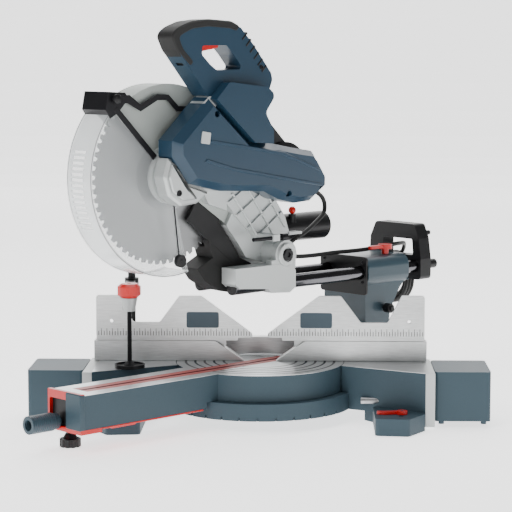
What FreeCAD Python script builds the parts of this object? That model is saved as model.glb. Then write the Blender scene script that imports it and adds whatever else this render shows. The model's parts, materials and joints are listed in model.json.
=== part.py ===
"""Sliding compound mitre saw, as an assembly of separate pieces.

Frame: the origin is the turntable's axis on the bench plane, +X runs along the fence,
+Y points away from the operator and +Z is up. Millimetres.
The turntable, rails and head are drawn with the mitre at zero, where the rails run along Y,
and are then turned to the mitre at which the saw stands.
"""
import FreeCAD, Part
import math
import os
from FreeCAD import Vector

# ---- driving dimensions ---------------------------------------------------------------
MITRE_REST = 45.0            # table stands turned this far to the left
TABLE_TOP = 100.0            # height of the work surface
TABLE_RADIUS = 152.0
TABLE_FLOOR = 52.5           # underside of the turntable disc
ARM_HALF_WIDTH = 45.0
ARM_FRONT = -440.0
ARM_FLOOR = 42.0
WING_END = 294.0             # half length of the base casting
WING_BACK = 50.0
WALL = 7.0
END_PLATE = 17.0             # thickness of the bright end plates
EXTENSION_LENGTH = 99.0
FOOT_HEIGHT = 30.0           # top of the bolting lobes
FOOT_HOLE_RADIUS = 5.0
BOLT_X, BOLT_Y = 250.0, 150.0

FENCE_HALF = 299.0
FENCE_LOW = 137.0            # top of the fixed fence
FENCE_HIGH = 219.5           # top of the sliding fences
FENCE_THICK = 24.0
FENCE_PLATE = 8.0

BLADE_RADIUS = 152.5
BLADE_THICK = 2.4
ARBOR_Y, ARBOR_Z = -232.0, 449.0
ARBOR_RADIUS = 10.0
PIVOT_Y, PIVOT_Z = 6.0, 300.0
PIVOT_RADIUS = 9.0
HUB_RADIUS = 26.0
HUB_HALF = 47.0
EAR_THICK = 14.0

UPPER_GUARD_RADIUS = 158.5
GUARD_WALL = 3.0
LOWER_GUARD_RADIUS = 172.0
GUARD_LEFT, GUARD_RIGHT = -38.5, 15.5

RAIL_X, RAIL_Z = 42.0, 247.5
RAIL_RADIUS = 12.5
RAIL_FRONT, RAIL_REAR = -108.0, 394.0
BLOCK_FRONT, BLOCK_REAR = 222.0, 334.0
BLOCK_HALF, BLOCK_LOW, BLOCK_HIGH = 62.0, 221.0, 276.0
BRACKET_FRONT, BRACKET_REAR = 370.0, 400.0

COVER_NEAR, COVER_FAR = 28.0, 80.0
MOTOR_Y, MOTOR_Z, MOTOR_RADIUS = 40.0, 445.0, 54.0
MOTOR_LEFT, MOTOR_RIGHT = -165.0, 19.5
PULLEY_RADIUS, MOTOR_PULLEY_RADIUS = 20.0, 12.0
BELT_NEAR, BELT_FAR, BELT_THICK = 32.0, 43.0, 3.0
HANDLE_NEAR, HANDLE_FAR = 24.6, 64.0

CORD_RADIUS = 4.0
COIL_RADIUS = 44.0           # middle of the put-away turns
COIL_CENTRE = (-62.0, 424.0, 214.0)
COIL_RADIAL, COIL_AXIAL = 20.0, 24.0
COIL_HOOK = (-54.0, 243.4)

ROD_RADIUS = 6.0
ROD_Z = 42.0
ROD_YS = (-72.0, -12.0)

FIT = 0.05                   # radial clearance of a shaft in its bore
GAP = 0.5                    # clearance between pieces that move past each other
SEAT = 0.3                   # clearance of a piece that rests beside its carrier
PARTS = "parts"


# ---- shapes ---------------------------------------------------------------------------
def point_on(axis, level, a, b):
    """The point at level along axis; a and b are the other two coordinates in order."""
    return {"x": Vector(level, a, b), "y": Vector(a, level, b), "z": Vector(a, b, level)}[axis]


def step_along(axis, length):
    return {"x": Vector(length, 0, 0), "y": Vector(0, length, 0), "z": Vector(0, 0, length)}[axis]


def outline(points, axis, level, radius=0.0):
    """A closed wire through the points, each corner rounded as far as its sides allow."""
    corners = [point_on(axis, level, a, b) for a, b in points]
    if not radius:
        return Part.makePolygon(corners + corners[:1])
    arcs = []
    for i, corner in enumerate(corners):
        back = corners[i - 1] - corner
        ahead = corners[(i + 1) % len(corners)] - corner
        half = back.getAngle(ahead) / 2
        run = min(radius / math.tan(half), 0.45 * back.Length, 0.45 * ahead.Length)
        back.normalize()
        ahead.normalize()
        bisector = back + ahead
        bisector.normalize()
        bend = run * math.tan(half)
        nearest = corner + bisector * (bend / math.sin(half) - bend)
        arcs.append((corner + back * run, nearest, corner + ahead * run))
    edges = []
    for i, (start, middle, end) in enumerate(arcs):
        edges.append(Part.LineSegment(arcs[i - 1][2], start).toShape())
        edges.append(Part.Arc(start, middle, end).toShape())
    return Part.Wire(edges)


def prism(points, axis, low, high, radius=0.0):
    """The outline carried along axis from low to high."""
    face = Part.Face(outline(points, axis, low, radius))
    return face.extrude(step_along(axis, high - low))


def tapered(points, inner, axis, low, high):
    """A ruled solid between one outline and a smaller one with as many corners."""
    return Part.makeLoft([outline(points, axis, low), outline(inner, axis, high)], True, True)


def box(x0, x1, y0, y1, z0, z1):
    return Part.makeBox(x1 - x0, y1 - y0, z1 - z0, Vector(x0, y0, z0))


def rod(radius, axis, low, high, a, b):
    """A cylinder along axis through (a, b)."""
    return Part.makeCylinder(radius, high - low, point_on(axis, low, a, b), step_along(axis, 1))


def ring(outer, inner, axis, low, high, a, b):
    return rod(outer, axis, low, high, a, b).cut(rod(inner, axis, low - 1, high + 1, a, b))


def sector(outer, inner, axis_low, axis_high, start, end):
    """Part of a ring about the arbor, along X, between two angles counted from +Y towards +Z."""
    steps = max(2, int((end - start) / 15))
    angles = [math.radians(start + (end - start) * i / steps) for i in range(steps + 1)]
    reach = outer * 1.2
    fan = [(ARBOR_Y, ARBOR_Z)]
    fan += [(ARBOR_Y + reach * math.cos(t), ARBOR_Z + reach * math.sin(t)) for t in angles]
    wedge = prism(fan, "x", axis_low, axis_high)
    return ring(outer, inner, "x", axis_low, axis_high, ARBOR_Y, ARBOR_Z).common(wedge)


def joined(*pieces):
    whole = pieces[0]
    for piece in pieces[1:]:
        whole = whole.fuse(piece)
    return whole.removeSplitter()


def less(shape, *pieces):
    for piece in pieces:
        shape = shape.cut(piece)
    return shape


def mirrored(shape):
    return shape.mirror(Vector(0, 0, 0), Vector(1, 0, 0))


def turned(shape):
    """The shape carried round with the turntable to the mitre it stands at."""
    copy = shape.copy()
    copy.rotate(Vector(0, 0, 0), Vector(0, 0, 1), -MITRE_REST)
    return copy


def save(name, shape):
    os.makedirs(PARTS, exist_ok=True)
    shape.exportStep(os.path.join(PARTS, name + ".step"))
    print(name, len(shape.Solids), "solids", round(shape.Volume / 1000, 1), "cm3",
          "" if shape.isValid() else "NOT VALID")


def inset(points, amount):
    """The outline moved inwards by amount, corner by corner; points run either way round."""
    area = sum(points[i - 1][0] * p[1] - p[0] * points[i - 1][1] for i, p in enumerate(points))
    side = 1 if area > 0 else -1
    moved = []
    for i, (a, b) in enumerate(points):
        before, after = points[i - 1], points[(i + 1) % len(points)]
        d1 = Vector(a - before[0], b - before[1], 0)
        d2 = Vector(after[0] - a, after[1] - b, 0)
        d1.normalize()
        d2.normalize()
        n1 = Vector(-d1.y, d1.x, 0) * side
        n2 = Vector(-d2.y, d2.x, 0) * side
        shift = (n1 + n2) * (amount / (1 + n1.dot(n2)))
        moved.append((a + shift.x, b + shift.y))
    return moved


# ---- base -----------------------------------------------------------------------------
BASE_PAN_RADIUS = 168.0
BASE_PAN_LOW = 22.0
TABLE_HUB = 30.0
WING_FRONT_IN, WING_FRONT_OUT = -45.0, -120.0
WING_START = 150.0
RIB_X = 232.0
POST_X, POST_Y, POST_RADIUS = -237.0, 38.0, 7.0


def wing():
    """The right wing: a casting open below, with a rib across the middle."""
    plan = [(90, WING_BACK), (90, 0), (WING_START, WING_FRONT_IN),
            (WING_END, WING_FRONT_OUT), (WING_END, WING_BACK)]
    body = prism(plan, "z", BASE_PAN_LOW, TABLE_TOP)
    for start, end in ((186.0, RIB_X - WALL / 2), (RIB_X + WALL / 2, WING_END - WALL)):
        slope = (WING_FRONT_OUT - WING_FRONT_IN) / (WING_END - WING_START)
        front = [WING_FRONT_IN + slope * (x - WING_START) + WALL * 1.2 for x in (start, end)]
        pocket = [(start, front[0]), (end, front[1]), (end, WING_BACK - WALL),
                  (start, WING_BACK - WALL)]
        body = body.cut(prism(pocket, "z", BASE_PAN_LOW - 1, TABLE_TOP - WALL))
    return body


def base_casting():
    lobe_front = [(182, -31), (204, -60), (204, -177), (262, -183), (293, -133), (WING_END, -28)]
    lobe_rear = [(204, 20), (208, 177), (262, 183), (290, 140), (WING_END, 20)]
    half = joined(wing(), prism(lobe_front, "z", 0, FOOT_HEIGHT, 8),
                  prism(lobe_rear, "z", 0, FOOT_HEIGHT, 8),
                  box(150, 215, -34, 34, BASE_PAN_LOW, 40))
    pan = rod(BASE_PAN_RADIUS, "z", BASE_PAN_LOW, TABLE_FLOOR - GAP, 0, 0)
    body = joined(half, mirrored(half), pan)
    hollow = ring(BASE_PAN_RADIUS - 18, 60, "z", BASE_PAN_LOW - 1, TABLE_FLOOR - WALL - 2, 0, 0)
    body = body.cut(hollow.cut(box(-200, 200, -6, 6, 0, 60)).cut(box(-6, 6, -200, 200, 0, 60)))
    body = less(body, rod(TABLE_RADIUS + 1.5, "z", TABLE_FLOOR - GAP, TABLE_TOP + 1, 0, 0),
                rod(TABLE_HUB + FIT, "z", 0, TABLE_FLOOR + 1, 0, 0))
    for step in range(-5, 6):
        angle = math.radians(-90 + 11 * step)
        notch = box(-2, 2, -3, 3, BASE_PAN_LOW - 1, BASE_PAN_LOW + 6)
        notch.rotate(Vector(0, 0, 0), Vector(0, 0, 1), math.degrees(angle) + 90)
        notch.translate(Vector(math.cos(angle), math.sin(angle), 0) * BASE_PAN_RADIUS)
        body = body.cut(notch)
    for side in (-1, 1):
        body = body.fuse(rod(3, "z", FOOT_HEIGHT - 2, FOOT_HEIGHT + LEVER_THICK, side * LOCK_X, LOCK_Y))
        for y in (-BOLT_Y, BOLT_Y):
            body = body.cut(rod(FOOT_HOLE_RADIUS, "z", -1, FOOT_HEIGHT + 1, side * BOLT_X, y))
        for y in ROD_YS:
            low, high = sorted((side * 180, side * (WING_END + 1)))
            body = body.cut(rod(ROD_RADIUS + FIT, "x", low, high, y, ROD_Z))
    return body


def end_plates():
    plate = box(WING_END, WING_END + END_PLATE, WING_FRONT_OUT, WING_BACK - 14, 4, TABLE_TOP - 1)
    for y in ROD_YS:
        plate = plate.cut(rod(ROD_RADIUS + FIT, "x", WING_END - 1, WING_END + END_PLATE + 1, y, ROD_Z))
    return Part.makeCompound([plate, mirrored(plate)])


def blade_way(half_gap, spread, reach, low, high):
    """The wedge behind the fence line that stays clear for the blade at every mitre."""
    plan = [(-half_gap, -1), (half_gap, -1), (half_gap + spread * reach, reach),
            (-half_gap - spread * reach, reach)]
    return prism(plan, "z", low, high)


BRIDGE_INNER, BRIDGE_OUTER = 76.0, 96.0
FENCE_FOOT = 0.6
BLADE_SPREAD = 1.3


def fixed_fence():
    """Left and right uprights, their rear bridge, and the boss for the clamp post."""
    face = [(29, TABLE_TOP + FENCE_FOOT), (82, FENCE_LOW), (303, FENCE_LOW),
            (303, TABLE_TOP + FENCE_FOOT)]
    upright = prism(face, "y", 0, FENCE_THICK)
    groove = box(20, 310, 10, 16, FENCE_LOW - 11, FENCE_LOW + 1)
    foot = box(172, 290, 2, FENCE_THICK + 14, TABLE_TOP, TABLE_TOP + 8)
    half = joined(upright.cut(groove), foot)
    bridge = ring(BRIDGE_OUTER, BRIDGE_INNER, "z", TABLE_TOP + 2, FENCE_LOW - 4, 0, 0)
    bridge = bridge.common(box(-120, 120, 14, 120, 90, 150))
    bridge = less(bridge, box(-100, 100, 10, 16, FENCE_LOW - 11, FENCE_LOW + 1))
    boss = rod(POST_RADIUS + 6, "z", TABLE_TOP, FENCE_LOW, POST_X, POST_Y)
    body = joined(half, mirrored(half), bridge, boss)
    body = body.cut(rod(POST_RADIUS + FIT, "z", TABLE_TOP + 1, FENCE_LOW + 1, POST_X, POST_Y))
    return body.cut(blade_way(12, BLADE_SPREAD, 32, 90, 150))


def sliding_fence():
    """The right sliding fence: a plate with a stepped top on a tongue in the fixed fence."""
    low = FENCE_LOW + 6
    face = [(4, low), (107, FENCE_HIGH), (147, FENCE_HIGH), (183, 171), (232, 171),
            (257, FENCE_HIGH + 1), (FENCE_HALF, FENCE_HIGH + 1), (FENCE_HALF, low)]
    plate = prism(face, "y", 0, FENCE_PLATE, 5)
    rail = box(60, FENCE_HALF - 4, FENCE_PLATE - 1, FENCE_THICK - 2, FENCE_LOW + GAP, low + 6)
    lip = box(40, FENCE_HALF, 1, FENCE_PLATE, FENCE_LOW + GAP, low + 1)
    tongue = box(62, FENCE_HALF - 4, 10 + SEAT, 16 - SEAT, FENCE_LOW - 10, FENCE_LOW + 1)
    hole = rod(3.2, "y", -1, FENCE_PLATE + 1, 271, 173)
    rib = prism([(120, low + 5), (120, FENCE_HIGH - 8), (126, FENCE_HIGH - 8), (126, low + 5)],
                "y", FENCE_PLATE - 1, 18)
    return joined(plate, rail, lip, tongue, rib).cut(hole).cut(blade_way(4, BLADE_SPREAD, 60, 120, 230))


def clamp_post():
    """The upright post and the arm that reaches forward over the fence."""
    post = rod(POST_RADIUS, "z", TABLE_TOP + 2, CLAMP_TOP, POST_X, POST_Y)
    arm = box(POST_X - 8, POST_X + 8, CLAMP_Y + 24, POST_Y, CLAMP_ARM_LOW, CLAMP_ARM_LOW + 17)
    collar = rod(13, "z", CLAMP_ARM_LOW - 4, CLAMP_ARM_LOW + 20, POST_X, POST_Y)
    gusset = joined(box(POST_X - 7, POST_X + 7, CLAMP_Y + 8, CLAMP_Y + 34, CLAMP_NUT_LOW,
                        CLAMP_NUT_LOW + 23),
                    box(POST_X - 7, POST_X + 7, CLAMP_Y + 22.5, CLAMP_Y + 34, CLAMP_NUT_LOW,
                        CLAMP_ARM_LOW + 10))
    nut = Part.makeCone(10, 15, 24, Vector(CLAMP_X, CLAMP_Y, CLAMP_NUT_LOW))
    body = joined(post, arm, collar, gusset, nut)
    return body.cut(rod(SPINDLE_RADIUS + FIT, "z", CLAMP_NUT_LOW - 1, CLAMP_TOP, CLAMP_X, CLAMP_Y))


CLAMP_X, CLAMP_Y = -231.0, -74.0
CLAMP_TOP = 259.0
CLAMP_ARM_LOW = 228.0
CLAMP_NUT_LOW = 202.0
SPINDLE_RADIUS = 4.0
PAD_RADIUS = 27.0


def clamp_spindle():
    """The threaded spindle with its swivel pad, resting on the wing."""
    spindle = rod(SPINDLE_RADIUS, "z", TABLE_TOP + 6, CLAMP_TOP - 10, CLAMP_X, CLAMP_Y)
    pad = rod(PAD_RADIUS, "z", TABLE_TOP + SEAT, TABLE_TOP + 7, CLAMP_X, CLAMP_Y)
    dish = ring(PAD_RADIUS - 3, 9, "z", TABLE_TOP + 4, TABLE_TOP + 8, CLAMP_X, CLAMP_Y)
    neck = Part.makeCone(12, 5, 8, Vector(CLAMP_X, CLAMP_Y, TABLE_TOP + 4))
    return joined(pad.cut(dish), neck, spindle)


def clamp_knob():
    low = CLAMP_NUT_LOW + 24 + GAP
    knob = joined(rod(21, "z", low + 5, low + 20, CLAMP_X, CLAMP_Y),
                  Part.makeCone(15, 21, 5, Vector(CLAMP_X, CLAMP_Y, low)),
                  Part.makeCone(21, 15, 5, Vector(CLAMP_X, CLAMP_Y, low + 20)))
    knob = knob.cut(rod(SPINDLE_RADIUS + FIT, "z", low - 1, low + 26, CLAMP_X, CLAMP_Y))
    for i in range(6):
        angle = math.radians(30 + 60 * i)
        knob = knob.cut(rod(4, "z", low - 1, low + 26, CLAMP_X + 24 * math.cos(angle),
                            CLAMP_Y + 24 * math.sin(angle)))
    return knob


def extension():
    """The right table extension: an open-backed block with feet."""
    near = WING_END + END_PLATE + GAP
    far = near + EXTENSION_LENGTH - GAP
    body = prism([(near, -106), (far, -106), (far, 18), (near, 18)], "z", 12, TABLE_TOP, 6)
    body = body.cut(prism([(near + WALL, -106 + WALL), (far - WALL, -106 + WALL),
                           (far - WALL, 18 - WALL), (near + WALL, 18 - WALL)],
                          "z", 5, TABLE_TOP - WALL, 4))
    rib = box(near + 3, far - 3, -47, -41, 12, TABLE_TOP - 3)
    feet = [rod(5, "z", 7, 14, x, y) for x in (near + 12, far - 12) for y in (-100.5, 12.5)]
    body = joined(body, rib, *feet)
    for y in ROD_YS:
        body = body.cut(rod(ROD_RADIUS, "x", near - 1, far - WALL, y, ROD_Z))
        body = body.cut(box(near - 1, near + 12, y - ROD_RADIUS, y + ROD_RADIUS, 11, ROD_Z))
    return body


def extension_rods():
    near = WING_END + END_PLATE + GAP
    rods = [rod(ROD_RADIUS - FIT, "x", 182, near + EXTENSION_LENGTH - WALL - 2, y, ROD_Z)
            for y in ROD_YS]
    return Part.makeCompound(rods)


LOCK_X, LOCK_Y, LEVER_THICK = 252.0, -135.0, 6.5


def extension_lever():
    """The cam lever that locks the extension's rods, on a pin in the front lobe."""
    eye = rod(10, "z", FOOT_HEIGHT + GAP, FOOT_HEIGHT + LEVER_THICK, LOCK_X, LOCK_Y)
    tail = prism([(LOCK_X - 6, LOCK_Y + 8), (LOCK_X - 6, LOCK_Y - 2), (LOCK_X - 30, LOCK_Y - 8),
                  (LOCK_X - 44, LOCK_Y - 4), (LOCK_X - 44, LOCK_Y + 4), (LOCK_X - 28, LOCK_Y + 4)],
                 "z", FOOT_HEIGHT + GAP, FOOT_HEIGHT + LEVER_THICK - 1, 3)
    return less(joined(eye, tail), rod(3.05, "z", FOOT_HEIGHT, FOOT_HEIGHT + 12, LOCK_X, LOCK_Y))


# ---- turntable ------------------------------------------------------------------------
INSERT_HALF = 20.0
INSERT_FLOOR = 96.0
KERF_HALF = 2.5
KERF_FRONT, KERF_REAR = ARM_FRONT + 26.0, 70.0
TROUGH_HALF, TROUGH_FLOOR = 10.0, 80.0
TABLE_BOSS_REAR = 215.0
HANDLE_X, HANDLE_Z, HANDLE_RADIUS = -20.0, 50.0, 15.5
LOCK_ROD_RADIUS = 4.0
FOOT_X, FOOT_Y, FOOT_SCREW = -29.0, ARM_FRONT + 26.0, 4.0


def turntable():
    """The round table with its arm to the front and the bevel boss behind."""
    disc = rod(TABLE_RADIUS, "z", TABLE_FLOOR, TABLE_TOP, 0, 0)
    hub = rod(TABLE_HUB, "z", BASE_PAN_LOW, TABLE_FLOOR + 1, 0, 0)
    clear = -BASE_PAN_RADIUS - 3
    arm = joined(box(-ARM_HALF_WIDTH, ARM_HALF_WIDTH, ARM_FRONT, -100, TABLE_FLOOR, TABLE_TOP),
                 box(-ARM_HALF_WIDTH, ARM_HALF_WIDTH, ARM_FRONT, clear, ARM_FLOOR, TABLE_FLOOR + 1))
    boss = joined(box(-46, 46, 120, 205, TABLE_FLOOR + 2, TABLE_TOP - GAP),
                  rod(46, "y", 160, TABLE_BOSS_REAR, 0, TABLE_TOP).common(
                      box(-46, 46, 150, 220, TABLE_FLOOR + 2, 150)))
    body = joined(disc, hub, arm, boss)
    body = less(body, box(-INSERT_HALF, INSERT_HALF, KERF_FRONT - 1, KERF_REAR, INSERT_FLOOR - SEAT,
                          TABLE_TOP + 1),
                box(-TROUGH_HALF, TROUGH_HALF, KERF_FRONT + 8, KERF_REAR - 6, TROUGH_FLOOR,
                    INSERT_FLOOR),
                rod(TABLE_BOLT_RADIUS + FIT, "z", 0, 76, 0, 0),
                rod(BEVEL_BOLT_RADIUS + FIT, "y", 150, 230, 0, TABLE_TOP),
                rod(LOCK_ROD_RADIUS + FIT, "y", ARM_FRONT - 1, -170, HANDLE_X, HANDLE_Z),
                rod(FOOT_SCREW + FIT, "z", ARM_FLOOR - 1, ARM_FLOOR + 18, FOOT_X, FOOT_Y))
    hollow = ring(TABLE_RADIUS - 10, 44, "z", TABLE_FLOOR - 1, TABLE_TOP - 12, 0, 0)
    body = body.cut(hollow.cut(box(-ARM_HALF_WIDTH - 2, ARM_HALF_WIDTH + 2, -200, 200, 0, 110)))
    for radius in (84.0, 118.0):
        groove = ring(radius + 1.2, radius - 1.2, "z", TABLE_TOP - 1.5, TABLE_TOP + 1, 0, 0)
        body = body.cut(groove.cut(box(-30, 30, -200, 120, 90, 110)))
    return body


TABLE_BOLT_RADIUS = 8.0
BEVEL_BOLT_RADIUS = 11.0


def table_bolt():
    """The pivot bolt under the turntable with its wide washer."""
    return joined(rod(TABLE_BOLT_RADIUS, "z", 12, 75, 0, 0),
                  rod(44, "z", BASE_PAN_LOW - 6, BASE_PAN_LOW - GAP, 0, 0),
                  rod(13, "z", 8, BASE_PAN_LOW - 5, 0, 0))


def kerf_inserts():
    right = box(KERF_HALF, INSERT_HALF - SEAT, KERF_FRONT, KERF_REAR - SEAT, INSERT_FLOOR,
                TABLE_TOP - 0.2)
    return Part.makeCompound([right, mirrored(right)])


def arm_cap():
    """The moulded frame across the front of the arm, open where the handle and rod pass."""
    frame = box(-ARM_HALF_WIDTH, ARM_HALF_WIDTH, ARM_FRONT - 8, ARM_FRONT - SEAT, ARM_FLOOR - 8,
                TABLE_TOP + 2)
    window = prism([(-40, ARM_FLOOR), (26, ARM_FLOOR), (26, 88), (-40, 88)], "y", ARM_FRONT - 9,
                   ARM_FRONT, 4)
    sill = box(24, ARM_HALF_WIDTH, ARM_FRONT - 8, ARM_FRONT + 36, ARM_FLOOR - 8, ARM_FLOOR - SEAT)
    return joined(frame.cut(window), sill)


def mitre_handle():
    """The hollow twist grip and its rod, which clamp the table to the base."""
    grip = ring(HANDLE_RADIUS, 9, "y", ARM_FRONT - 68, ARM_FRONT - 20, HANDLE_X, HANDLE_Z)
    collar = rod(HANDLE_RADIUS - 2, "y", ARM_FRONT - 22, ARM_FRONT - 9, HANDLE_X, HANDLE_Z)
    shaft = rod(LOCK_ROD_RADIUS, "y", ARM_FRONT - 22, -172, HANDLE_X, HANDLE_Z)
    return joined(grip, collar, shaft)


def detent_lever():
    """The long lever under the arm that lifts the detent."""
    top, low = ARM_FLOOR - GAP, ARM_FLOOR - 3.5
    bar = box(24, 44, ARM_FRONT + 40, -178, low, top)
    near, under = ARM_FRONT + 55, ARM_FLOOR - 9
    keel = prism([(near, top), (near + 70, top), (near + 65, under), (near + 15, under)], "x", 4, 30)
    return joined(bar, keel)


def support_foot():
    """The levelling screw under the arm's front end, standing on the bench."""
    knob = rod(18, "z", 0, 14, FOOT_X, FOOT_Y)
    for i in range(10):
        angle = math.radians(36 * i)
        knob = knob.cut(rod(3, "z", -1, 15, FOOT_X + 19 * math.cos(angle),
                            FOOT_Y + 19 * math.sin(angle)))
    hub = Part.makeCone(13, 8, 9, Vector(FOOT_X, FOOT_Y, 14))
    stem = rod(FOOT_SCREW, "z", 20, ARM_FLOOR + 4, FOOT_X, FOOT_Y)
    return joined(knob, hub, stem)


def bevel_bolt():
    """The horizontal pivot that carries the trunnion, level with the work surface."""
    return joined(rod(BEVEL_BOLT_RADIUS, "y", 152, 252, 0, TABLE_TOP),
                  rod(18, "y", 240 + GAP, 250, 0, TABLE_TOP))


# ---- trunnion -------------------------------------------------------------------------
def trunnion():
    """The tilting bracket: a pivot plate low down, a neck, and the bearing block."""
    section = [(-BLOCK_HALF, BLOCK_LOW), (BLOCK_HALF, BLOCK_LOW), (BLOCK_HALF, BLOCK_HIGH),
               (-BLOCK_HALF, BLOCK_HIGH)]
    block = prism(section, "y", BLOCK_FRONT, BLOCK_REAR, 20)
    side = [(BLOCK_FRONT, 225), (BLOCK_FRONT, 60), (280, 60), (290, 172), (318, 214), (330, 225)]
    neck = prism(side, "x", -54, 54)
    hollow = prism([(240, 208), (240, 50), (270, 50), (280, 175), (304, 208)], "x", -40, 40)
    plate = rod(50, "y", TABLE_BOSS_REAR + GAP, BLOCK_FRONT + 2, 0, TABLE_TOP)
    body = joined(block, neck.cut(hollow), plate)
    body = less(body, rod(BEVEL_BOLT_RADIUS + FIT, "y", TABLE_BOSS_REAR - 1, 245, 0, TABLE_TOP),
                rod(STOP_RADIUS + FIT, "x", 30, 60, STOP_Y, STOP_Z))
    for x in (-RAIL_X, RAIL_X):
        body = body.cut(rod(BUSH_RADIUS, "y", BLOCK_FRONT - 1, BLOCK_REAR + 1, x, RAIL_Z))
    return body.cut(rod(3 + FIT, "z", BLOCK_HIGH - 12, BLOCK_HIGH + 1, LEVER_X, LEVER_Y)).cut(
        rod(KNOB_SCREW + FIT, "x", -BLOCK_HALF - 1, -RAIL_X - BUSH_RADIUS + 1, 278, RAIL_Z))


BUSH_RADIUS = 16.0
STOP_RADIUS = 3.0
STOP_Y, STOP_Z = 272.0, 178.0
LEVER_X, LEVER_Y = 31.0, 300.0
KNOB_SCREW = 4.0


def slide_bushes():
    """Linear bushes at both ends of the bearing block."""
    bushes = []
    for x in (-RAIL_X, RAIL_X):
        for low, high in ((BLOCK_FRONT + 2, BLOCK_FRONT + 34), (BLOCK_REAR - 34, BLOCK_REAR - 2)):
            bushes.append(ring(BUSH_RADIUS - FIT, RAIL_RADIUS + FIT, "y", low, high, x, RAIL_Z))
    return Part.makeCompound(bushes)


def wiper_plate():
    """The seal plate over the front of the bearing block."""
    face = [(-60, 206), (60, 206), (60, BLOCK_HIGH + 2), (-60, BLOCK_HIGH + 2)]
    plate = prism(face, "y", BLOCK_FRONT - 5, BLOCK_FRONT - SEAT, 6)
    plate = plate.cut(rod(52, "y", 200, 230, 0, TABLE_TOP))
    for x in (-RAIL_X, RAIL_X):
        plate = plate.cut(rod(RAIL_RADIUS + GAP, "y", BLOCK_FRONT - 9, BLOCK_FRONT + 1, x, RAIL_Z))
    return plate


def bevel_lever():
    """The red lever on top of the bearing block that locks the tilt."""
    stem = rod(3, "z", BLOCK_HIGH - 11, BLOCK_HIGH + 2, LEVER_X, LEVER_Y)
    neck = rod(7, "z", BLOCK_HIGH + SEAT, BLOCK_HIGH + 11, LEVER_X, LEVER_Y)
    disc = rod(13.5, "z", BLOCK_HIGH + 10, BLOCK_HIGH + 19, LEVER_X, LEVER_Y)
    grip = prism([(LEVER_X - 6, LEVER_Y), (LEVER_X + 6, LEVER_Y), (LEVER_X + 5, LEVER_Y - 44),
                  (LEVER_X - 5, LEVER_Y - 44)], "z", BLOCK_HIGH + 12, BLOCK_HIGH + 18, 4)
    return joined(stem, neck, disc, grip)


def bevel_stop():
    """The push pin that sets the tilt stops, on the right of the neck."""
    return joined(rod(STOP_RADIUS, "x", 42, 60, STOP_Y, STOP_Z),
                  rod(9, "x", 60, 74, STOP_Y, STOP_Z), rod(5, "x", 73, 78, STOP_Y, STOP_Z))


def slide_knob():
    """The knob that clamps the left rail."""
    knob = rod(16, "x", -BLOCK_HALF - 26, -BLOCK_HALF - 8, 278, RAIL_Z)
    for i in range(8):
        angle = math.radians(45 * i)
        knob = knob.cut(rod(3.5, "x", -BLOCK_HALF - 27, -BLOCK_HALF - 7,
                            278 + 17.5 * math.cos(angle), RAIL_Z + 17.5 * math.sin(angle)))
    return joined(knob, rod(8, "x", -BLOCK_HALF - 9, -BLOCK_HALF - SEAT, 278, RAIL_Z),
                  rod(KNOB_SCREW, "x", -BLOCK_HALF - 2, -RAIL_X - RAIL_RADIUS - SEAT, 278, RAIL_Z))


# ---- carriage -------------------------------------------------------------------------
def rails():
    tubes = [ring(RAIL_RADIUS, RAIL_RADIUS - 3, "y", RAIL_FRONT, RAIL_REAR, x, RAIL_Z)
             for x in (-RAIL_X, RAIL_X)]
    return Part.makeCompound(tubes)


SLEEVE_IN, SLEEVE_OUT = 25.0, 62.0
SLEEVE_TOP = 284.0


def carrier():
    """The casting that clamps both rails and carries the chop pivot in two ears."""
    side = [(-117, 284), (-117, 256), (-107, 248), (-39, 242), (-30, 234), (15, 231), (30, 240),
            (30, 270), (18, SLEEVE_TOP), (-83, SLEEVE_TOP)]
    right = prism(side, "x", SLEEVE_IN, SLEEVE_OUT)
    left = mirrored(right).cut(box(-70, 0, -130, -96, 220, 300))
    bridge = box(-SLEEVE_IN - 1, SLEEVE_IN + 1, 9, 30, 232, 268)
    ear = joined(rod(HUB_RADIUS, "x", HUB_HALF + GAP, HUB_HALF + GAP + EAR_THICK, PIVOT_Y, PIVOT_Z),
                 box(HUB_HALF + GAP, HUB_HALF + GAP + EAR_THICK, -30, 30, SLEEVE_TOP - 10, 292))
    body = joined(right, left, bridge, ear, mirrored(ear))
    for x in (-RAIL_X, RAIL_X):
        body = body.cut(rod(RAIL_RADIUS + FIT, "y", RAIL_FRONT - SEAT, 40, x, RAIL_Z))
    return less(body, rod(PIVOT_RADIUS + FIT, "x", -80, 80, PIVOT_Y, PIVOT_Z),
                rod(HUB_RADIUS + GAP, "x", -HUB_HALF - GAP, HUB_HALF + GAP, PIVOT_Y, PIVOT_Z))


def chop_pivot():
    end = HUB_HALF + EAR_THICK - 2
    return rod(PIVOT_RADIUS, "x", -end, end, PIVOT_Y, PIVOT_Z)


def return_spring():
    """The torsion spring round the pivot shaft, inside the hub, as a stack of turns."""
    turns = []
    for i in range(8):
        turn = Part.makeTorus(PIVOT_RADIUS + 4.5, 1.9, Vector(-19 + i * 4.0, PIVOT_Y, PIVOT_Z),
                              Vector(1, 0, 0))
        turns.append(turn)
    return Part.makeCompound(turns)


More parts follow.
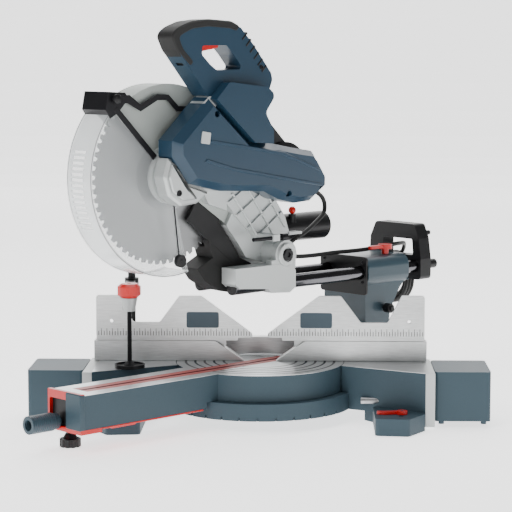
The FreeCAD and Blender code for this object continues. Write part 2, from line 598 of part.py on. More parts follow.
def rear_bracket():
    """The rail end bracket with the carrying handle above it."""
    outer = [(-56, 222), (60, 222), (60, 262), (54, 302), (42, 329), (-58, 329), (-72, 300),
             (-74, 268), (-60, 258)]
    body = prism(outer, "y", BRACKET_FRONT, BRACKET_REAR, 8)
    window = prism([(-38, 267), (40, 269), (37, 300), (-38, 300)], "y", BRACKET_FRONT - 1,
                   BRACKET_REAR + 1, 3)
    body = joined(body.cut(window), rod(9, "y", BRACKET_REAR - 2, BRACKET_REAR + 22, 48, 250),
                  rod(4.5, "y", BRACKET_REAR - 2, BRACKET_REAR + 9, 46, 311),
                  rod(9, "y", BRACKET_REAR - 2, BRACKET_REAR + 12, -60, 280),
                  rod(3, "y", BRACKET_REAR - 2, BRACKET_REAR + 38, *COIL_HOOK))
    for x in (-RAIL_X, RAIL_X):
        body = body.cut(rod(RAIL_RADIUS + FIT, "y", BRACKET_FRONT - 1, RAIL_REAR + SEAT, x, RAIL_Z))
    return body


# ---- head -----------------------------------------------------------------------------
COVER_OUTLINE = [(-184, 584), (-264, 513), (-264, 486), (-227, 439), (-155, 423), (-52, 417),
                 (-16, 401), (23, 392), (62, 394), (96, 416), (97, 440), (66, 484), (19, 491),
                 (-30, 500), (-90, 504)]
NECK_OUTLINE = [(-186, 576), (-100, 492), (-72, 490), (-46, 492), (-46, 524), (-66, 556),
                (-42, 586), (-60, 600), (-150, 610)]


def near_arbor(radius, low, high):
    return rod(radius, "x", low, high, ARBOR_Y, ARBOR_Z)


def belt_cover():
    """The chamfered shell over the drive belt."""
    shoulder = COVER_FAR - 17
    shell = joined(prism(COVER_OUTLINE, "x", COVER_NEAR + SEAT, shoulder),
                   tapered(COVER_OUTLINE, inset(COVER_OUTLINE, 11), "x", shoulder, COVER_FAR))
    hollow = prism(inset(COVER_OUTLINE, 5), "x", COVER_NEAR - 1, shoulder - 4)
    shell = less(shell, hollow, belt_case(BELT_ROOM + CASE_WALL + GAP, COVER_NEAR - 1, CASE_FAR + GAP, GAP))
    for y, z in COVER_SCREWS:
        shell = shell.fuse(ring(8, 3, "x", COVER_NEAR + SEAT, shoulder - 3, y, z))
        shell = shell.cut(rod(5.5, "x", shoulder - 10, COVER_FAR + 1, y, z))
        shell = shell.cut(rod(3, "x", COVER_NEAR, shoulder, y, z))
    return shell.removeSplitter()


COVER_SCREWS = [(-176, 556), (-4, 411), (78, 418), (64, 472)]
BELT_ROOM, CASE_WALL, CASE_FAR = 5.0, 4.0, 47.0
CASE_REAR = -120.0
BEARING_RADIUS = 17.0


def belt_case(extra, low, high, room=0.0):
    """The front part of the belt's way, round the arbor, as far back as the cover is narrow."""
    front = box(low, high, ARBOR_Y - 60, CASE_REAR + room, 380, 520)
    return belt_loop(extra, low, high).common(front)


def cover_screws():
    """Pan-head screws of the cover, sunk in their pockets."""
    shoulder = COVER_FAR - 17
    screws = []
    for y, z in COVER_SCREWS:
        screws.append(joined(rod(5, "x", shoulder - 10 + SEAT, shoulder - 6, y, z),
                             rod(2.8, "x", COVER_NEAR + 4, shoulder - 9, y, z)))
    return Part.makeCompound(screws)


ARM_SIDE = [(-160, 424), (-142, 413), (-111, 380), (-109, 364), (-72, 320), (-56, 297), (-10, 283),
            (24, 281), (34, 300), (52, 328), (36, 364), (2, 410), (0, 424)]


def head_casting():
    """The swing arm with its pivot hub, the plate behind the cover, and the arbor case."""
    plate = prism(inset(COVER_OUTLINE, 3), "x", COVER_NEAR - 3.5, COVER_NEAR)
    hub = rod(HUB_RADIUS, "x", -HUB_HALF, HUB_HALF, PIVOT_Y, PIVOT_Z)
    core = prism(ARM_SIDE, "x", -22, 22).cut(near_arbor(UPPER_GUARD_RADIUS + SEAT, -40, 40))
    web = [(-135, 424), (-78, 366), (-40, 330), (30, 330), (48, 330), (36, 364), (2, 410), (0, 424)]
    side_web = prism(web, "x", GUARD_RIGHT + SEAT, COVER_NEAR)
    tie = prism([(-172, 436), (-118, 446), (-106, 384), (-150, 398)], "x", GUARD_RIGHT + SEAT,
                COVER_NEAR)
    case = joined(near_arbor(GUARD_BOSS, GUARD_RIGHT + SEAT, COVER_NEAR),
                  belt_case(BELT_ROOM + CASE_WALL, COVER_NEAR - 1, CASE_FAR))
    motor_seat = ring(MOTOR_RADIUS, 40, "x", MOTOR_RIGHT + SEAT, COVER_NEAR - 3, MOTOR_Y, MOTOR_Z)
    body = joined(plate, hub, core, side_web, tie, case, motor_seat)
    way = belt_loop(BELT_ROOM, BELT_NEAR - 2, BELT_FAR + 1.5)
    body = less(body, way.common(box(BELT_NEAR - 2, BELT_FAR + 2, -300, CASE_REAR + 9, 380, 520)),
                near_arbor(BEARING_RADIUS, GUARD_RIGHT, BELT_NEAR - 4),
                near_arbor(ARBOR_RADIUS + 3, GUARD_RIGHT, BELT_NEAR),
                rod(PIVOT_RADIUS + FIT, "x", -80, 80, PIVOT_Y, PIVOT_Z),
                rod(SPRING_POCKET, "x", -22.5, 14, PIVOT_Y, PIVOT_Z),
                rod(16, "x", MOTOR_RIGHT, COVER_NEAR + 1, MOTOR_Y, MOTOR_Z))
    for y, z in COVER_SCREWS:
        body = body.cut(rod(3, "x", COVER_NEAR - 5, COVER_NEAR + 5, y, z))
    lug = box(COVER_NEAR - 8, DEPTH_X + 6, -36, -20, PIVOT_Z + HUB_RADIUS + 1.5, DEPTH_Z + 6)
    clip = box(13, 31, 44, 76, 330.5, 335)
    return body.fuse(lug).fuse(clip).cut(rod(DEPTH_RADIUS + FIT, "y", -50, -10, DEPTH_X, DEPTH_Z))


GUARD_BOSS = 45.9
SPRING_POCKET = 15.7


def arbor_bearings():
    """The arbor's ball bearing and the armature's two bearings, as plain rings."""
    front = ring(BEARING_RADIUS - FIT, ARBOR_RADIUS + FIT, "x", GUARD_RIGHT + 2, BELT_NEAR - 4.5,
                 ARBOR_Y, ARBOR_Z)
    rear = [ring(14, ARMATURE_SHAFT + FIT, "x", low, low + 9, MOTOR_Y, MOTOR_Z)
            for low in (MOTOR_LEFT + 12, MOTOR_RIGHT - 14)]
    return Part.makeCompound([front] + rear)


def upper_guard():
    """The fixed guard round the top of the blade."""
    start, end = -34.0, 136.0
    rim = sector(UPPER_GUARD_RADIUS, UPPER_GUARD_RADIUS - GUARD_WALL, GUARD_LEFT, GUARD_RIGHT,
                 start, end)
    left = sector(UPPER_GUARD_RADIUS, 46, GUARD_LEFT, GUARD_LEFT + 2.5, start, end)
    right = sector(UPPER_GUARD_RADIUS, 28, GUARD_RIGHT - 2.5, GUARD_RIGHT, start, end)
    return joined(rim, left, right)


def lower_guard():
    """The swinging guard: rim, side walls and the ring that turns on the arbor case."""
    start, end = 134.0, 284.0
    low, high = GUARD_LEFT - 4.5, GUARD_RIGHT + 4.5
    rim = sector(LOWER_GUARD_RADIUS, LOWER_GUARD_RADIUS - GUARD_WALL, low, high, start, end)
    left = sector(LOWER_GUARD_RADIUS, 70, low, low + 2, start, end)
    right = sector(LOWER_GUARD_RADIUS, GUARD_BOSS + 0.1, high - 2, high, start, end)
    collar = ring(GUARD_BOSS + 11, GUARD_BOSS + 0.1, "x", high - 2, high, ARBOR_Y, ARBOR_Z)
    body = joined(rim, left, right, collar)
    count = 15
    for i in range(count):
        angle = math.radians(164 + 44 * i / (count - 1))
        slot = box(GUARD_LEFT + 6, GUARD_RIGHT - 16, -2.2, 2.2, -10, 10)
        slot.rotate(Vector(0, 0, 0), Vector(1, 0, 0), math.degrees(angle) + 90)
        slot.translate(Vector(0, ARBOR_Y + LOWER_GUARD_RADIUS * math.cos(angle),
                              ARBOR_Z + LOWER_GUARD_RADIUS * math.sin(angle)))
        body = body.cut(slot)
    return body.cut(rod(ROLLER_PIN, "x", high - 3, high + 1, ROLLER_Y, ROLLER_Z))


ROLLER_Y, ROLLER_Z = -213.0, 303.0
ROLLER_RADIUS, ROLLER_PIN = 11.0, 3.0
LINK_HIGH = 23.7
LINK_Y, LINK_Z = -352.0, 584.0
LUG_SWEEP = 200.0


def roller():
    """The small wheel on the guard's trailing edge, with its pin."""
    high = GUARD_RIGHT + 4.5
    return joined(rod(ROLLER_RADIUS, "x", high + GAP, high + 9, ROLLER_Y, ROLLER_Z),
                  rod(ROLLER_PIN - FIT, "x", high - 2, high + 10, ROLLER_Y, ROLLER_Z))


def guard_arm():
    """The black arm from the guard's collar to its front corner, with the link's lug."""
    along = math.radians(135)
    across = Vector(-math.sin(along), math.cos(along), 0)
    inner = Vector(ARBOR_Y + 48 * math.cos(along), ARBOR_Z + 48 * math.sin(along), 0)
    outer = Vector(ARBOR_Y + 168 * math.cos(along), ARBOR_Z + 168 * math.sin(along), 0)
    bar = [(p.x, p.y) for p in (inner + across * 5, inner - across * 5, outer - across * 5,
                                outer + across * 5)]
    head = [(-366, 596), (-330, 594), (-322, 584), (-346, 560), (-362, 552), (-372, 566)]
    body = joined(prism(bar, "x", GUARD_RIGHT + 4.6, LINK_HIGH - 1.4),
                  prism(head, "x", GUARD_LEFT - 3, GUARD_RIGHT + 3).cut(
                      near_arbor(LOWER_GUARD_RADIUS + SEAT, -60, 19.9)),
                  prism(head, "x", GUARD_RIGHT + 2, LINK_HIGH - 2).cut(
                      near_arbor(LOWER_GUARD_RADIUS + SEAT, -60, 20.1)))
    return body.cut(rod(3 + FIT, "x", GUARD_RIGHT, LINK_HIGH + 1, LINK_Y, LINK_Z))


def guard_link():
    """The stepped pull link from the guard's front corner back under the cover."""
    top = [(LINK_Y - 7, LINK_Z + 6), (-322, 590), (-299, 574), (-262, 590), (-236, 589), (-214, 569),
           (-176, 568)]
    low = [(-176, 560), (-218, 560), (-240, 580), (-261, 580), (-298, 562), (-326, 576),
           (LINK_Y - 7, LINK_Z - 6)]
    pin = rod(3, "x", GUARD_RIGHT + 5, LINK_HIGH - 1, LINK_Y, LINK_Z)
    return joined(prism(top + low, "x", LINK_HIGH - 1.7, LINK_HIGH), pin)


def handle():
    """The D handle with its neck, slotted for the trigger."""
    outer = [(-182, 585), (-250, 663), (-262, 686), (-258, 694), (-245, 702), (-219, 711),
             (-182, 715), (-128, 712), (-106, 702), (-76, 673), (-34, 624),
             (-31, 612), (-42, 586), (-60, 600), (-120, 592)]
    ring_part = prism(outer, "x", HANDLE_NEAR, HANDLE_FAR, 9)
    window = prism(WINDOW, "x", HANDLE_NEAR - 1, HANDLE_FAR + 1, 5)
    neck = less(prism(NECK_OUTLINE, "x", HANDLE_NEAR, 84, 10),
                prism(inset(COVER_OUTLINE, -0.4), "x", 0, 90))
    body = joined(ring_part.cut(window), neck)
    slot = prism([(-250, 654), (-250, 688), (-146, 688), (-146, 662), (-190, 654)], "x",
                 TRIGGER_NEAR - GAP, TRIGGER_FAR + GAP)
    return less(body, slot, box(LOCK_OFF_NEAR - GAP, LOCK_OFF_FAR + 5 + GAP, -232, -194, 638, 656))


WINDOW = [(-196, 672), (-140, 672), (-123, 656), (-101, 631), (-163, 630), (-178, 640), (-196, 656)]
TRIGGER_NEAR, TRIGGER_FAR = 34.0, 55.0
LOCK_OFF_NEAR, LOCK_OFF_FAR = 36.0, 48.0


def trigger():
    body = [(-248, 672), (-246, 657), (-209, 659), (-160, 666), (-150, 668), (-150, 680),
            (-244, 680)]
    return prism(body, "x", TRIGGER_NEAR, TRIGGER_FAR, 3)


def lock_off():
    return prism([(-230, 655.5), (-196, 655.5), (-203, 646), (-210, 641), (-216, 646)], "x",
                 LOCK_OFF_NEAR, LOCK_OFF_FAR, 2)


def motor_housing():
    """The motor can behind the drive, and the shroud that runs up to the handle."""
    can = rod(MOTOR_RADIUS, "x", MOTOR_LEFT, MOTOR_RIGHT, MOTOR_Y, MOTOR_Z)
    shroud = prism([(-112, 560), (-94, 572), (-36, 574), (66, 478), (60, 440), (-50, 440)], "x", -62,
                   MOTOR_RIGHT, 8)
    shroud = shroud.cut(near_arbor(LUG_SWEEP + 2, -80, 40))
    body = joined(can, shroud)
    body = less(body, rod(MOTOR_RADIUS - 5, "x", MOTOR_LEFT + 5, MOTOR_RIGHT - 5, MOTOR_Y, MOTOR_Z),
                rod(15, "x", MOTOR_RIGHT - 20, MOTOR_RIGHT + 1, MOTOR_Y, MOTOR_Z),
                prism(ARM_SIDE, "x", -24, 24))
    for i in range(12):
        angle = math.radians(30 * i + 15)
        body = body.cut(rod(3, "x", MOTOR_LEFT - 1, MOTOR_LEFT + 6, MOTOR_Y + 36 * math.cos(angle),
                            MOTOR_Z + 36 * math.sin(angle)))
    seat = joined(ring(20, 14 + FIT, "x", MOTOR_LEFT + 4, MOTOR_LEFT + 22, MOTOR_Y, MOTOR_Z),
                  ring(20, 14 + FIT, "x", MOTOR_RIGHT - 15, MOTOR_RIGHT - 4, MOTOR_Y, MOTOR_Z))
    start, aim = Vector(*HEAD_LEAD[0]), Vector(*HEAD_LEAD[1]) - Vector(*HEAD_LEAD[0])
    aim.normalize()
    gland = Part.makeCone(8, 6, 16, start - aim * 16, aim)
    return joined(body, seat, gland)


ARMATURE_SHAFT = 6.0


def stator():
    return ring(MOTOR_RADIUS - 5 - SEAT, 31, "x", -120, -40, MOTOR_Y, MOTOR_Z)


def armature():
    """Armature core, fan and shaft with the small pulley, in one turning piece."""
    fan = rod(34, "x", -26, -14, MOTOR_Y, MOTOR_Z)
    return joined(rod(ARMATURE_SHAFT, "x", MOTOR_LEFT + 8, BELT_FAR + 1, MOTOR_Y, MOTOR_Z),
                  rod(29, "x", -118, -42, MOTOR_Y, MOTOR_Z), fan,
                  rod(18, "x", -140, -124, MOTOR_Y, MOTOR_Z),
                  rod(MOTOR_PULLEY_RADIUS, "x", BELT_NEAR - 1, BELT_FAR + 1, MOTOR_Y, MOTOR_Z))


def belt_loop(extra, near=BELT_NEAR + 0.5, far=BELT_FAR - 0.5):
    """The outline round both pulleys, extra outside their rims, as a filled prism."""
    big, small = PULLEY_RADIUS + extra, MOTOR_PULLEY_RADIUS + extra
    dy, dz = MOTOR_Y - ARBOR_Y, MOTOR_Z - ARBOR_Z
    length = math.hypot(dy, dz)
    lean = math.asin((big - small) / length)
    base = math.atan2(dz, dy)
    corners = []
    for sign in (1, -1):
        angle = base + sign * (math.pi / 2 - lean)
        pair = [(ARBOR_Y + big * math.cos(angle), ARBOR_Z + big * math.sin(angle)),
                (MOTOR_Y + small * math.cos(angle), MOTOR_Z + small * math.sin(angle))]
        corners += pair if sign > 0 else pair[::-1]
    return joined(prism(corners, "x", near, far), near_arbor(big, near, far),
                  rod(small, "x", near, far, MOTOR_Y, MOTOR_Z))


def drive_belt():
    return belt_loop(SEAT + BELT_THICK).cut(belt_loop(SEAT))


def dust_chute():
    """The duct behind the blade, slotted so that the blade runs inside it."""
    side = [(-158, 414), (-129, 414), (-112, 378), (-111, 362), (-76, 318), (-62, 296), (-34, 284),
            (-45, 262), (-100, 300), (-145, 336), (-157, 348), (-186, 372)]
    body = prism(side, "x", -24, GUARD_RIGHT - 3)
    body = body.cut(box(-6, 6, -240, 0, 200, 440).common(near_arbor(157.5, -10, 10)))
    arm = prism(inset(ARM_SIDE, -SEAT), "x", -23, 23)
    return body.cut(arm)


def chute_flap():
    """The rubber flap under the duct."""
    side = [(-146, 335.5), (-134, 303), (-171, 285), (-153, 262), (-122, 244), (-79, 234),
            (-58, 234), (-45.5, 261.5), (-100, 299.5)]
    body = prism(side, "x", -23, 22)
    return body.cut(box(-6, 6, -240, 0, 200, 440).common(near_arbor(157.5, -10, 10)))


PORT_X, PORT_Z, PORT_RADIUS = -38.0, 335.0, 26.0
PORT_BORE = 20.0


def dust_port():
    """The outlet behind the arm, open to the rear, with the boss for the lock pin."""
    tube = rod(PORT_RADIUS, "y", 58, 196, PORT_X, PORT_Z)
    inlet = box(PORT_X - 14, -23, 10, 70, PIVOT_Z + HUB_RADIUS + 2, 352)
    boss = rod(7, "z", 340, 362, LOCK_PIN_X, LOCK_PIN_Y)
    body = joined(tube, inlet, boss)
    return less(body, rod(PORT_BORE, "y", 66, 200, PORT_X, PORT_Z),
                rod(3 + FIT, "z", 352, 363, LOCK_PIN_X, LOCK_PIN_Y))


LOCK_PIN_X, LOCK_PIN_Y = -20.0, 101.0


def lock_pin():
    """The push pin that holds the head down for carrying."""
    ball = Part.makeSphere(7, Vector(LOCK_PIN_X, LOCK_PIN_Y, 369))
    return joined(rod(3, "z", 357, 366, LOCK_PIN_X, LOCK_PIN_Y), ball)


def depth_bar():
    """The adjustable depth stop, a screw across the arm's near side."""
    return joined(rod(DEPTH_RADIUS, "y", -80, -4, DEPTH_X, DEPTH_Z),
                  rod(6.5, "y", -12, 2, DEPTH_X, DEPTH_Z))


DEPTH_X, DEPTH_Z, DEPTH_RADIUS = 66.5, 333.0, 3.5


# ---- blade ----------------------------------------------------------------------------
def blade():
    """The saw blade with sixty teeth cut in its rim and expansion slots."""
    teeth = 60
    rim = []
    for i in range(teeth):
        start = 2 * math.pi * i / teeth
        for share, radius in ((0.0, BLADE_RADIUS), (0.45, BLADE_RADIUS - 1.2),
                              (0.62, BLADE_RADIUS - 8), (0.9, BLADE_RADIUS - 6)):
            angle = start + share * 2 * math.pi / teeth
            rim.append((ARBOR_Y + radius * math.cos(angle), ARBOR_Z + radius * math.sin(angle)))
    disc = prism(rim, "x", -BLADE_THICK / 2, BLADE_THICK / 2)
    return disc.cut(near_arbor(ARBOR_RADIUS + FIT, -5, 5))


def arbor():
    """The arbor shaft with both flanges, the blade bolt and the belt pulley."""
    half = BLADE_THICK / 2
    hexagon = [(ARBOR_Y + 9.5 * math.cos(math.radians(60 * i)),
                ARBOR_Z + 9.5 * math.sin(math.radians(60 * i))) for i in range(6)]
    return joined(near_arbor(ARBOR_RADIUS, -8, BELT_FAR), near_arbor(25, half, 7),
                  near_arbor(25, -7, -half), prism(hexagon, "x", -16, -6),
                  near_arbor(PULLEY_RADIUS, BELT_NEAR - 1, BELT_FAR))


# ---- mains lead -----------------------------------------------------------------------
HEAD_LEAD = [(0, 96, 420), (0, 120, 411), (0, 146, 402), (0, 166, 386), (3, 164, 362),
             (9, 140, 350), (16, 112, 338), (22, 86, 328), (24, 66, 322)]
REAR_LEAD = [(24.1, 63, 320.6), (24, 50, 314), (22, 45, 301), (18, 55, 291), (11, 82, 286),
             (9, 132, 284.5), (7, 186, 286), (9, 240, 285), (8, 294, 286), (3, 345, 288),
             (-8, 392, 288), (-24, 424, 284), (-44, 432, 268)]
PLUG_TOP = (-118.0, 424.0, 196.0)


def lead(route, label):
    """A tube of straight runs joined by tangent arcs, each arc as large as its runs allow."""
    points = [Vector(*p) for p in route]
    edges, radii = [], []
    last = points[0]
    for i in range(1, len(points) - 1):
        back = points[i - 1] - points[i]
        ahead = points[i + 1] - points[i]
        half = back.getAngle(ahead) / 2
        run = 0.45 * min(back.Length, ahead.Length)
        back.normalize()
        ahead.normalize()
        bend = run * math.tan(half)
        radii.append(round(bend, 1))
        bisector = back + ahead
        bisector.normalize()
        nearest = points[i] + bisector * (bend / math.sin(half) - bend)
        start, end = points[i] + back * run, points[i] + ahead * run
        edges.append(Part.LineSegment(last, start).toShape())
        edges.append(Part.Arc(start, nearest, end).toShape())
        last = end
    edges.append(Part.LineSegment(last, points[-1]).toShape())
    path = Part.Wire(edges)
    section = Part.Wire(Part.makeCircle(CORD_RADIUS, points[0], points[1] - points[0]))
    tube = path.makePipeShell([section], True, False, 1)
    expected = math.pi * CORD_RADIUS ** 2 * path.Length
    print(label, "length", round(path.Length, 1), "radii", radii,
          "volume share", round(tube.Volume / expected, 4))
    return tube


def lead_coil():
    x, y, z = COIL_CENTRE
    return ring(COIL_RADIUS + COIL_RADIAL / 2, COIL_RADIUS - COIL_RADIAL / 2, "y",
                y - COIL_AXIAL / 2, y + COIL_AXIAL / 2, x, z)


def plug():
    """The two-pin plug hanging beside the coil, pins down."""
    x, y, z = PLUG_TOP
    body = joined(Part.makeCone(5, 9, 20, Vector(x, y, z), Vector(0, 0, -1)),
                  rod(17, "z", z - 50, z - 20, x, y))
    pins = [rod(2.4, "z", z - 68, z - 49, x + side * 9.5, y) for side in (-1, 1)]
    return joined(body, *pins)


# ---- assembly -------------------------------------------------------------------------
def main():
    save("base_casting", base_casting())
    save("base_end_plates", end_plates())
    save("fixed_fence", fixed_fence())
    right_fence = sliding_fence()
    save("fence_right", right_fence)
    save("fence_left", mirrored(right_fence))
    save("clamp_post", clamp_post())
    save("clamp_spindle", clamp_spindle())
    save("clamp_knob", clamp_knob())
    block, rods, lever = extension(), extension_rods(), extension_lever()
    save("extension_right", block)
    save("extension_left", mirrored(block))
    save("extension_rods_right", rods)
    save("extension_rods_left", mirrored(rods))
    save("extension_lever_right", lever)
    save("extension_lever_left", mirrored(lever))

    save("turntable", turned(turntable()))
    save("table_bolt", turned(table_bolt()))
    save("kerf_inserts", turned(kerf_inserts()))
    save("arm_cap", turned(arm_cap()))
    save("mitre_handle", turned(mitre_handle()))
    save("detent_lever", turned(detent_lever()))
    save("support_foot", turned(support_foot()))
    save("bevel_bolt", turned(bevel_bolt()))

    save("trunnion", turned(trunnion()))
    save("slide_bushes", turned(slide_bushes()))
    save("wiper_plate", turned(wiper_plate()))
    save("bevel_lever", turned(bevel_lever()))
    save("bevel_stop", turned(bevel_stop()))
    save("slide_knob", turned(slide_knob()))

    save("rails", turned(rails()))
    save("carrier", turned(carrier()))
    save("chop_pivot", turned(chop_pivot()))
    save("return_spring", turned(return_spring()))
    save("rear_bracket", turned(rear_bracket()))
    save("lead_rear", turned(lead(REAR_LEAD, "rear lead")))
    save("lead_coil", turned(lead_coil()))
    save("mains_plug", turned(plug()))

    save("head_casting", turned(head_casting()))
    save("belt_cover", turned(belt_cover()))
    save("cover_screws", turned(cover_screws()))
    save("bearings", turned(arbor_bearings()))
    save("upper_guard", turned(upper_guard()))
    save("handle", turned(handle()))
    save("motor_housing", turned(motor_housing()))
    save("stator", turned(stator()))
    save("drive_belt", turned(drive_belt()))
    save("dust_chute", turned(dust_chute()))
    save("chute_flap", turned(chute_flap()))
    save("dust_port", turned(dust_port()))
    save("depth_bar", turned(depth_bar()))
    save("lead_head", turned(lead(HEAD_LEAD, "head lead")))

    save("lower_guard", turned(lower_guard()))
    save("guard_arm", turned(guard_arm()))
    save("guard_roller", turned(roller()))
    save("guard_link", turned(guard_link()))
    save("blade", turned(blade()))
    save("arbor", turned(arbor()))
    save("armature", turned(armature()))
    save("trigger", turned(trigger()))
    save("lock_off", turned(lock_off()))
    save("lock_pin", turned(lock_pin()))


main()
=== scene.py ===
"""Looks of a sliding compound mitre saw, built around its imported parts.

"Along the saw" means millimetres in the head's own directions: x to the right of the blade, y
away from the operator along the rails, z up.
"""

import json
import math

import bmesh
import bpy
import numpy as np
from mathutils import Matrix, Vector


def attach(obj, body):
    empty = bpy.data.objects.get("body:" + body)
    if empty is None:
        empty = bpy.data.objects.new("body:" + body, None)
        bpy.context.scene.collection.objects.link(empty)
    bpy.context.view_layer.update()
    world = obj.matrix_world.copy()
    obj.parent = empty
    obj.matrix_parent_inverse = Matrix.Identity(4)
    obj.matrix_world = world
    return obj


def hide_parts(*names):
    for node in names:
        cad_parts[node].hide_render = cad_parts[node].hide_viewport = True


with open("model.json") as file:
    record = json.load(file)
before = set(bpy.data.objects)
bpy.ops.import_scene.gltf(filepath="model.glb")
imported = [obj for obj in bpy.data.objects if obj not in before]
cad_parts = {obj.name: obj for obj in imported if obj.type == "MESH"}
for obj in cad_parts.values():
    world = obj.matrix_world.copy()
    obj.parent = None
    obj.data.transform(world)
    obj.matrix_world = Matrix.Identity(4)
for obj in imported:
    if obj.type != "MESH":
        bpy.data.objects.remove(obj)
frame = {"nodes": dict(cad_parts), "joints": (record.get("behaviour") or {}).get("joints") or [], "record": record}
NODES = frame["nodes"]
JOINTS = {joint["name"]: joint for joint in frame["joints"]}
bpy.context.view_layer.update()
MM = 0.001

BACK = -Vector(JOINTS["slide"]["axis"]).normalized()
UP = Vector((0, 0, 1))
RIGHT = BACK.cross(UP)
TO_WORLD = np.array([RIGHT, BACK, UP]) * MM


def along_saw(joint):
    """A joint's place in the head's own directions, in millimetres."""
    place = Vector(JOINTS[joint]["pos_m"]) / MM
    return np.array([place.dot(RIGHT), place.dot(BACK), place.z])


ARBOR = along_saw("blade_spin")
PIVOT = along_saw("chop")
MOTOR = along_saw("motor_spin")
BODY_OF = {node: body for body, nodes in frame["record"]["behaviour"]["bodies"].items() for node in nodes}
SLOT_OF = {part["node"]: part["material_slot"] for part in frame["record"]["subparts"]}


# ---- camera, light and floor ------------------------------------------------------------
def camera():
    """A long lens a little to the right of straight ahead and a little above the table."""
    azimuth, elevation, distance = math.radians(1.59), math.radians(6.528), 3.331
    away = Vector((math.sin(azimuth) * math.cos(elevation), -math.cos(azimuth) * math.cos(elevation),
                   math.sin(elevation)))
    target = Vector((-0.00736, 0, 0.29285))
    data = bpy.data.cameras.new("camera")
    data.lens, data.sensor_width = 129.25, 36
    data.clip_end = 60
    eye = bpy.data.objects.new("camera", data)
    eye.location = target + away * distance
    eye.rotation_euler = away.to_track_quat("Z", "Y").to_euler()
    bpy.context.scene.collection.objects.link(eye)
    bpy.context.scene.camera = eye


def soft_box(name, place, target, size, power, tint=(1, 1, 1)):
    data = bpy.data.lights.new(name, "AREA")
    data.shape, data.size, data.size_y = "RECTANGLE", size[0], size[1]
    data.energy, data.color = power, tint
    lamp = bpy.data.objects.new(name, data)
    lamp.location = place
    lamp.rotation_euler = (Vector(place) - Vector(target)).to_track_quat("Z", "Y").to_euler()
    bpy.context.scene.collection.objects.link(lamp)


def studio():
    """Four large soft boxes and a white surround."""
    middle = (0, 0, 0.3)
    soft_box("key", (-1.6, -2.2, 2.3), middle, (1.8, 1.4), 52)
    soft_box("fill", (2.3, -1.9, 1.2), middle, (1.6, 1.6), 9)
    soft_box("top", (0.2, 0.5, 2.6), middle, (2.4, 1.6), 40)
    soft_box("rim", (-0.6, 2.4, 1.7), middle, (2.2, 1.0), 9)
    world = bpy.data.worlds.new("surround")
    world.use_nodes = True
    surround = world.node_tree.nodes["Background"]
    surround.inputs["Color"].default_value = (1.0, 1.0, 1.0, 1)
    surround.inputs["Strength"].default_value = 0.12
    bpy.context.scene.world = world


def floor():
    """A flat floor whose far edge curls up: y runs back, then z follows a quarter turn and a wall."""
    across = np.linspace(-9, 9, 25)
    bend = np.linspace(0, math.pi / 2, 16)
    radius = 2.5
    run = np.concatenate([np.linspace(-6, 5, 12), 5 + radius * np.sin(bend[1:]), np.full(6, 5 + radius)])
    rise = np.concatenate([np.zeros(12), radius * (1 - np.cos(bend[1:])), radius + np.linspace(0.8, 7, 6)])
    x, y = np.meshgrid(across, run, indexing="ij")
    z = np.broadcast_to(rise, x.shape)
    points = np.stack([x, y, z - 0.0006], -1)
    sweep = plain_mesh("paper_sweep", points.reshape(-1, 3), grid_faces(*x.shape, False, False)[:, ::-1])
    paper = bpy.data.materials.new("paper")
    paper.use_nodes = True
    shader = paper.node_tree.nodes["Principled BSDF"]
    shader.inputs["Base Color"].default_value = (0.97, 0.97, 0.97, 1)
    shader.inputs["Roughness"].default_value = 0.9
    shader.inputs["Emission Color"].default_value = (1, 1, 1, 1)
    shader.inputs["Emission Strength"].default_value = 1.7
    sweep.data.materials.append(paper)


# ---- surfaces ---------------------------------------------------------------------------
def grid_faces(rows, columns, close_rows, close_columns):
    """Quads of a grid of points, wrapping round where asked."""
    i = np.arange(rows if close_rows else rows - 1)[:, None]
    j = np.arange(columns if close_columns else columns - 1)[None, :]
    i2, j2 = (i + 1) % rows, (j + 1) % columns
    corners = [i * columns + j, i2 * columns + j, i2 * columns + j2, i * columns + j2]
    return np.stack([np.broadcast_to(c, (i.shape[0], j.shape[1])) for c in corners], -1).reshape(-1, 4)


def plain_mesh(name, points, faces):
    data = bpy.data.meshes.new(name)
    data.from_pydata(np.asarray(points, float).tolist(), [], [list(map(int, f)) for f in faces])
    data.update()
    made = bpy.data.objects.new(name, data)
    bpy.context.scene.collection.objects.link(made)
    return made


def outward(made):
    """Merges doubles and turns every face outwards."""
    work = bmesh.new()
    work.from_mesh(made.data)
    bmesh.ops.remove_doubles(work, verts=work.verts, dist=1e-6)
    bmesh.ops.recalc_face_normals(work, faces=work.faces)
    work.to_mesh(made.data)
    work.free()


def finish_piece(made, body, material, smooth=35, bevel=0.0, stands_for=()):
    """Gives a piece its finish, its soft edges and the body it moves with."""
    outward(made)
    made.data.materials.clear()
    made.data.materials.append(material)
    made.data.shade_smooth()
    edges = made.data.attributes.get("sharp_edge") or made.data.attributes.new("sharp_edge", "BOOLEAN", "EDGE")
    edges.data.foreach_set("value", sharp_edges(made.data, smooth))
    if bevel:
        soften(made, bevel)
    if body:
        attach(made, body)
    if stands_for:
        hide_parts(*stands_for)
    return made


